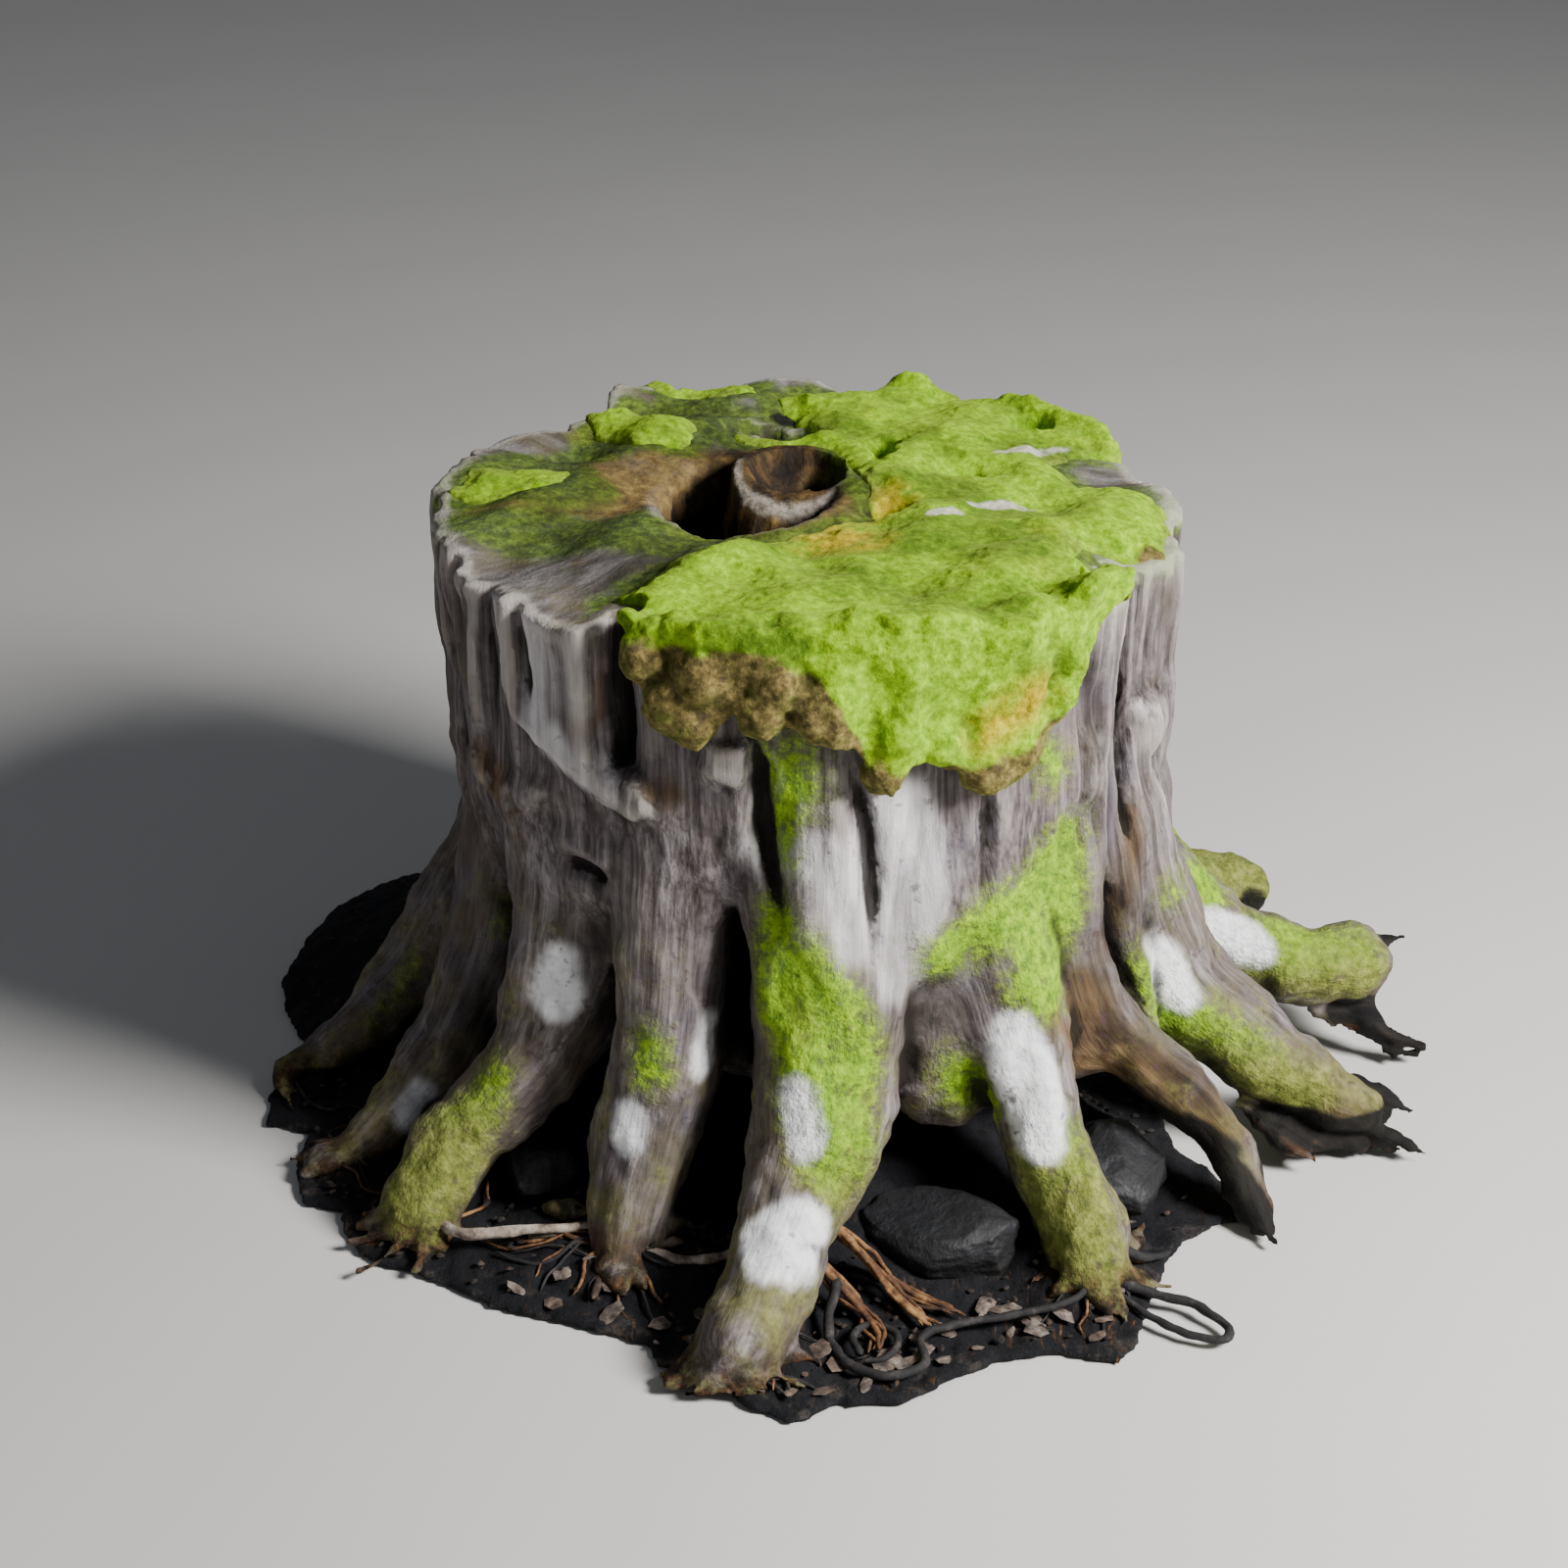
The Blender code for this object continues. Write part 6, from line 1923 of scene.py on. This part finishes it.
def wood_stains(n, colour, place, height, streaks, fine):
    """Humus on the lower trunk and the roots, and bare brown or ochre wood."""
    stained = n.math("MULTIPLY", n.span(height, 0.30, 0.10), n.span(n.noise(place, 26.0, 6.0, 0.64), 0.36, 0.62))
    colour = n.mix(n.math("MULTIPLY", stained, 0.55), colour, rgb("6a6048"))
    brown = n.math("ADD", n.attribute("brown"), n.math("SUBTRACT", n.noise(place, 44.0, 6.0, 0.66), 0.5))
    brown_colour = n.ramp(
        streaks,
        ((0.28, rgb("1a110a")), (0.44, rgb("43321e")), (0.58, rgb("6f5634")), (0.76, rgb("9c7d52"))),
    )
    colour = n.mix(n.span(brown, 0.15, 0.95, 0.0, 0.85), colour, brown_colour)
    ochre = ragged(n, "ochre", place, 40.0, 1.0, 0.05, 0.70)
    ochre_colour = n.ramp(fine, ((0.32, rgb("4c3a18")), (0.50, rgb("7f6632")), (0.66, rgb("a88c4c"))))
    return n.mix(n.math("MULTIPLY", ochre, 0.80), colour, ochre_colour)


def wood_film(n, colour, place, height, blotch, fine):
    """(how thick the green film is, the colour with it): it thins out to scattered dots."""
    coarse = n.math("SUBTRACT", n.noise(place, 30.0, 6.0, 0.62), 0.5)
    dots = n.math("SUBTRACT", n.noise(place, 150.0, 4.0, 0.66), 0.5)
    spread = n.math("ADD", n.math("MULTIPLY", coarse, 0.9), n.math("MULTIPLY", dots, 0.9))
    amount = n.math("ADD", n.attribute("film"), spread)
    film = n.span(amount, 0.15, 0.95)
    film_colour = n.ramp(
        n.noise(place, 150.0, 6.0, 0.7),
        ((0.26, rgb("3a5208")), (0.42, rgb("68920c")), (0.56, rgb("8eb810")), (0.74, rgb("b6da2c"))),
    )
    dull = n.ramp(
        n.noise(place, 120.0, 6.0, 0.7),
        ((0.28, rgb("32331a")), (0.46, rgb("676a30")), (0.60, rgb("8a8c4a")), (0.76, rgb("b0ae72"))),
    )
    film_colour = n.mix(n.span(amount, 0.95, 0.45, 0.0, 0.65), film_colour, dull)
    film_colour = n.mix(n.span(height, 0.13, 0.07, 0.0, 0.85), film_colour, dull)
    colour = n.mix(n.math("MULTIPLY", film, 0.94), colour, film_colour)
    haze = n.span(n.noise(place, 24.0, 6.0, 0.72), 0.53, 0.72, 0.0, 0.70)
    haze = n.math("MULTIPLY", haze, n.span(height, 0.32, 0.12))
    low_haze = n.math("MULTIPLY", n.span(height, 0.10, 0.05), n.span(blotch, 0.40, 0.62, 0.0, 0.6))
    olive = n.ramp(fine, ((0.30, rgb("484a22")), (0.50, rgb("767838")), (0.70, rgb("9c9a58"))))
    colour = n.mix(n.math("MAXIMUM", haze, low_haze), colour, olive)
    face_film = ragged(n, "face_film", place, 30.0, 1.1, 0.06, 0.66)
    face_green = n.ramp(
        n.noise(place, 130.0, 5.0, 0.66),
        ((0.30, rgb("2b390e")), (0.48, rgb("4a6212")), (0.70, rgb("7a962a"))),
    )
    return film, n.mix(n.math("MULTIPLY", face_film, 0.85), colour, face_green)


def wood_crusts_and_highlights(n, colour, place, height, grain):
    """Pale chalky crusts, partly painted highlights, and dark specks."""
    chalk_and_highlight = ragged(n, "chalk_and_highlight", n.stretched(grain, (1.0, 1.0, 0.45)), 50.0, 0.7, 0.12, 0.62)
    chalk_and_highlight_colour = n.ramp(n.noise(place, 170.0, 4.0), ((0.30, rgb("d5d7dd")), (0.52, rgb("f8f8fa")), (0.8, rgb("ffffff"))))
    colour = n.mix(n.math("MULTIPLY", chalk_and_highlight, 0.97), colour, chalk_and_highlight_colour)
    specks = n.math("MULTIPLY", n.span(n.noise(place, 95.0, 3.0, 0.5), 0.62, 0.70), n.span(height, 0.46, 0.30))
    return n.mix(n.math("MULTIPLY", specks, 0.55), colour, rgb("4b3540"))


def moss_material():
    n = Nodes("moss_living")
    if n.done:
        return n.material
    place = n.place()
    cavity = n.attribute("cavity")
    tone = n.noise(place, 24.0, 6.0, 0.66)
    fine = n.noise(place, 300.0, 4.0, 0.65)
    leaf = n.noise(place, 170.0, 5.0, 0.64)
    green = n.ramp(leaf, ((0.28, rgb("587e02")), (0.44, rgb("78a400")), (0.56, rgb("90be06")), (0.74, rgb("b4de28"))))
    deep_green = n.ramp(leaf, ((0.30, rgb("354f08")), (0.52, rgb("50740c")), (0.74, rgb("7a9a1e"))))
    shaded = n.math("ADD", n.span(tone, 0.45, 0.68, 0.0, 0.75), n.math("MULTIPLY", n.attribute("dark"), 0.85), True)
    green = n.mix(shaded, green, deep_green)
    golden = n.math("MULTIPLY", n.attribute("gold"), n.span(n.noise(place, 60.0, 5.0, 0.66), 0.30, 0.56))
    golden = n.math("MAXIMUM", golden, n.span(n.noise(place, 17.0, 4.0, 0.6), 0.58, 0.78, 0.0, 0.25))
    gold_colour = n.ramp(leaf, ((0.3, rgb("83690e")), (0.5, rgb("bc9a16")), (0.7, rgb("dbbf34"))))
    green = n.mix(n.math("MULTIPLY", golden, 0.85), green, gold_colour)
    humus = n.ramp(leaf, ((0.28, rgb("251910")), (0.44, rgb("503e28")), (0.57, rgb("75613f")), (0.72, rgb("98894f"))))
    berry = n.span(n.noise(place, 100.0, 3.0, 0.5), 0.60, 0.69, 0.0, 0.72)
    humus = n.mix(berry, humus, rgb("452a31"))
    humus = n.mix(n.span(n.noise(place, 36.0, 5.0, 0.66), 0.56, 0.72, 0.0, 0.50), humus, rgb("86903f"))
    ragged_edge = n.math("MULTIPLY", n.math("SUBTRACT", n.noise(place, 60.0, 5.0), 0.5), 1.1)
    dead_edge = n.math("ADD", n.attribute("dead"), ragged_edge)
    colour = n.mix(n.span(dead_edge, 0.22, 0.80, 0.0, 0.97), green, humus)
    # painted shade in the hollows between the cushion's lumps
    colour = n.mix(n.span(cavity, 0.10, 0.62, 0.0, 0.62), colour, rgb("262b10"))
    colour = n.mix(n.span(fine, 0.36, 0.60, 0.22, 0.0), colour, rgb("5a6a28"), "MULTIPLY")
    thin = n.math("MULTIPLY", n.attribute("thin"), n.span(n.noise(place, 48.0, 5.0, 0.66), 0.36, 0.60))
    colour = n.mix(n.math("MULTIPLY", thin, 0.70), colour, n.ramp(leaf, ((0.3, rgb("3f4a1c")), (0.7, rgb("8a9440")))))
    bare = n.math("ADD", n.attribute("bare"), n.math("SUBTRACT", n.noise(place, 70.0, 5.0), 0.5))
    colour = n.mix(n.span(bare, 0.25, 0.75, 0.0, 0.9), colour, n.ramp(leaf, ((0.35, rgb("a59d96")), (0.6, rgb("d8d3ce")))))
    n.put(n.shader.inputs["Base Color"], colour)
    n.put(n.shader.inputs["Roughness"], 0.95)
    n.put(n.shader.inputs["Specular IOR Level"], 0.15)
    n.put(n.shader.inputs["Sheen Weight"], 0.25)
    n.put(n.shader.inputs["Sheen Roughness"], 0.6)
    n.put(n.shader.inputs["Sheen Tint"], rgb("c8e060"))
    normal = n.bump(leaf, 0.55, 0.0028)
    normal = n.bump(fine, 0.40, 0.0014, normal)
    n.put(n.shader.inputs["Normal"], normal)
    return n.material


def litter_material():
    n = Nodes("litter_scraps")
    if n.done:
        return n.material
    mottle = n.noise(n.place(), 150.0, 5.0, 0.66)
    tone = n.attribute("tone")
    crumb = n.ramp(mottle, ((0.35, rgb("0d0c0d")), (0.55, rgb("2a211b")), (0.75, rgb("59432f"))))
    leaf = n.ramp(mottle, ((0.32, rgb("2b2421")), (0.48, rgb("5c524b")), (0.62, rgb("857a70")), (0.80, rgb("ada297"))))
    brown_leaf = n.ramp(mottle, ((0.34, rgb("2b201b")), (0.54, rgb("5f4f45")), (0.74, rgb("93837a"))))
    leaf = n.mix(n.span(tone, 0.70, 0.90), leaf, brown_leaf)
    n.put(n.shader.inputs["Base Color"], n.mix(n.span(tone, 0.50, 0.60), crumb, leaf))
    n.put(n.shader.inputs["Roughness"], 0.9)
    n.put(n.shader.inputs["Normal"], n.bump(mottle, 0.6, 0.0015))
    return n.material


def soil_material():
    n = Nodes("soil_forest")
    if n.done:
        return n.material
    place = n.place()
    crumb = n.noise(place, 120.0, 6.0, 0.7)
    patch = n.noise(place, 19.0, 6.0, 0.62, 0.8)
    colour = n.ramp(crumb, ((0.32, rgb("07080b")), (0.50, rgb("121318")), (0.66, rgb("18181d")), (0.84, rgb("2f2b2a"))))
    threads = n.noise(n.stretched(place, (1.0, 0.22, 0.5)), 150.0, 4.0, 0.6, 2.2)
    rust = n.math("MULTIPLY", n.span(patch, 0.50, 0.64), n.span(threads, 0.54, 0.66))
    rust_colour = n.ramp(crumb, ((0.3, rgb("2b190d")), (0.6, rgb("62421f")), (0.8, rgb("937248"))))
    colour = n.mix(n.math("MULTIPLY", rust, 0.80), colour, rust_colour)
    rim = n.math("MULTIPLY", n.attribute("rim"), n.span(n.noise(place, 44.0, 5.0, 0.7), 0.50, 0.64))
    colour = n.mix(n.math("MULTIPLY", rim, 0.25), colour, n.ramp(crumb, ((0.3, rgb("332c29")), (0.55, rgb("6c625a")), (0.8, rgb("a0968a")))))
    n.put(n.shader.inputs["Base Color"], colour)
    n.put(n.shader.inputs["Roughness"], 0.9)
    n.put(n.shader.inputs["Specular IOR Level"], 0.3)
    normal = n.bump(crumb, 0.9, 0.004)
    normal = n.bump(n.noise(place, 420.0, 4.0, 0.7), 0.6, 0.0015, normal)
    n.put(n.shader.inputs["Normal"], normal)
    return n.material


def stone_material():
    n = Nodes("stone_grey")
    if n.done:
        return n.material
    place = n.place()
    mottle = n.noise(place, 42.0, 6.0, 0.6, 0.5)
    colour = n.ramp(mottle, ((0.28, rgb("070708")), (0.46, rgb("141518")), (0.60, rgb("1e1f23")), (0.78, rgb("404146"))))
    low_down = n.span(n.new("ShaderNodeSeparateXYZ", {"Vector": place}).outputs["Z"], 0.036, 0.010)
    colour = n.mix(n.math("MULTIPLY", low_down, n.span(n.noise(place, 70.0, 5.0), 0.30, 0.55)), colour, rgb("0f0d0b"))
    n.put(n.shader.inputs["Base Color"], colour)
    n.put(n.shader.inputs["Roughness"], n.span(mottle, 0.3, 0.7, 0.75, 0.55))
    normal = n.bump(n.noise(place, 90.0, 6.0, 0.66), 0.6, 0.004)
    n.put(n.shader.inputs["Normal"], n.bump(n.noise(place, 260.0, 5.0, 0.6), 0.5, 0.0015, normal))
    return n.material


def rootlet_material():
    n = Nodes("rootlet_bark")
    if n.done:
        return n.material
    place = n.place()
    mottle = n.noise(place, 85.0, 6.0, 0.68)
    tone = n.attribute("tone")
    dark = n.ramp(mottle, ((0.34, rgb("0b0b0d")), (0.54, rgb("211f20")), (0.72, rgb("4d4846"))))
    warm = n.ramp(mottle, ((0.32, rgb("1d110a")), (0.50, rgb("5e3c20")), (0.68, rgb("a07a4e"))))
    pale = n.ramp(mottle, ((0.30, rgb("4a3b30")), (0.48, rgb("8f8073")), (0.64, rgb("c1b6a9"))))
    colour = n.mix(n.span(tone, 0.25, 0.42), dark, warm)
    colour = n.mix(n.span(tone, 0.72, 0.88), colour, pale)
    n.put(n.shader.inputs["Base Color"], colour)
    n.put(n.shader.inputs["Roughness"], 0.82)
    n.put(n.shader.inputs["Normal"], n.bump(n.noise(place, 300.0, 4.0), 0.5, 0.0015))
    return n.material


def floor_material():
    n = Nodes("studio_floor")
    if n.done:
        return n.material
    n.put(n.shader.inputs["Base Color"], n.mix(n.noise(n.place(), 3.0, 2.0), rgb("cfcecb"), rgb("d6d5d2")))
    n.put(n.shader.inputs["Roughness"], 0.9)
    return n.material


def area_light(name, place, target, size, power, colour=(1.0, 1.0, 1.0)):
    light = bpy.data.lights.new(name, "AREA")
    light.energy = power
    light.size = size
    light.color = colour
    obj = bpy.data.objects.new(name, light)
    obj.location = place
    obj.rotation_euler = (Vector(target) - Vector(place)).to_track_quat("-Z", "Y").to_euler()
    bpy.context.scene.collection.objects.link(obj)


def build_studio():
    bpy.ops.mesh.primitive_plane_add(size=12.0, location=(0.0, 0.0, 0.0))
    floor = bpy.context.object
    floor.name = "floor"
    floor.data.materials.append(floor_material())
    world = bpy.data.worlds.new("studio")
    bpy.context.scene.world = world
    world.use_nodes = True
    world.node_tree.nodes["Background"].inputs["Color"].default_value = (0.86, 0.90, 1.0, 1.0)
    world.node_tree.nodes["Background"].inputs["Strength"].default_value = 0.12
    area_light("key", (1.80, -1.15, 1.72), (0.0, 0.0, 0.20), 0.7, 158.0, (1.0, 0.98, 0.95))
    area_light("fill", (-1.8, -1.6, 1.2), (0.0, 0.0, 0.20), 1.8, 2.0, (0.90, 0.94, 1.0))
    camera = bpy.data.cameras.new("camera")
    camera.lens = 67.2
    camera.sensor_width = 36.0
    obj = bpy.data.objects.new("camera", camera)
    bpy.context.scene.collection.objects.link(obj)
    obj.location = (-0.0135, -1.8436, 1.1442)
    aim = Vector((-0.0135, 0.0, 0.225))
    obj.rotation_euler = (aim - obj.location).to_track_quat("-Z", "Y").to_euler()
    bpy.context.scene.camera = obj


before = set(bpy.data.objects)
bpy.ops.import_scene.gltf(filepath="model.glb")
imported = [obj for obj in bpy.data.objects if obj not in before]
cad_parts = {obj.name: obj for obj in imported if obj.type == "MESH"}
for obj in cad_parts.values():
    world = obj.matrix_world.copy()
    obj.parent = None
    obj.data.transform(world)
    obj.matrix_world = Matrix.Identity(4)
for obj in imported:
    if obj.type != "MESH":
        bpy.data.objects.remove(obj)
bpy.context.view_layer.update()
build_studio()
build_wood()
build_moss()
build_soil()
build_stones()
build_rootlets()
build_litter()
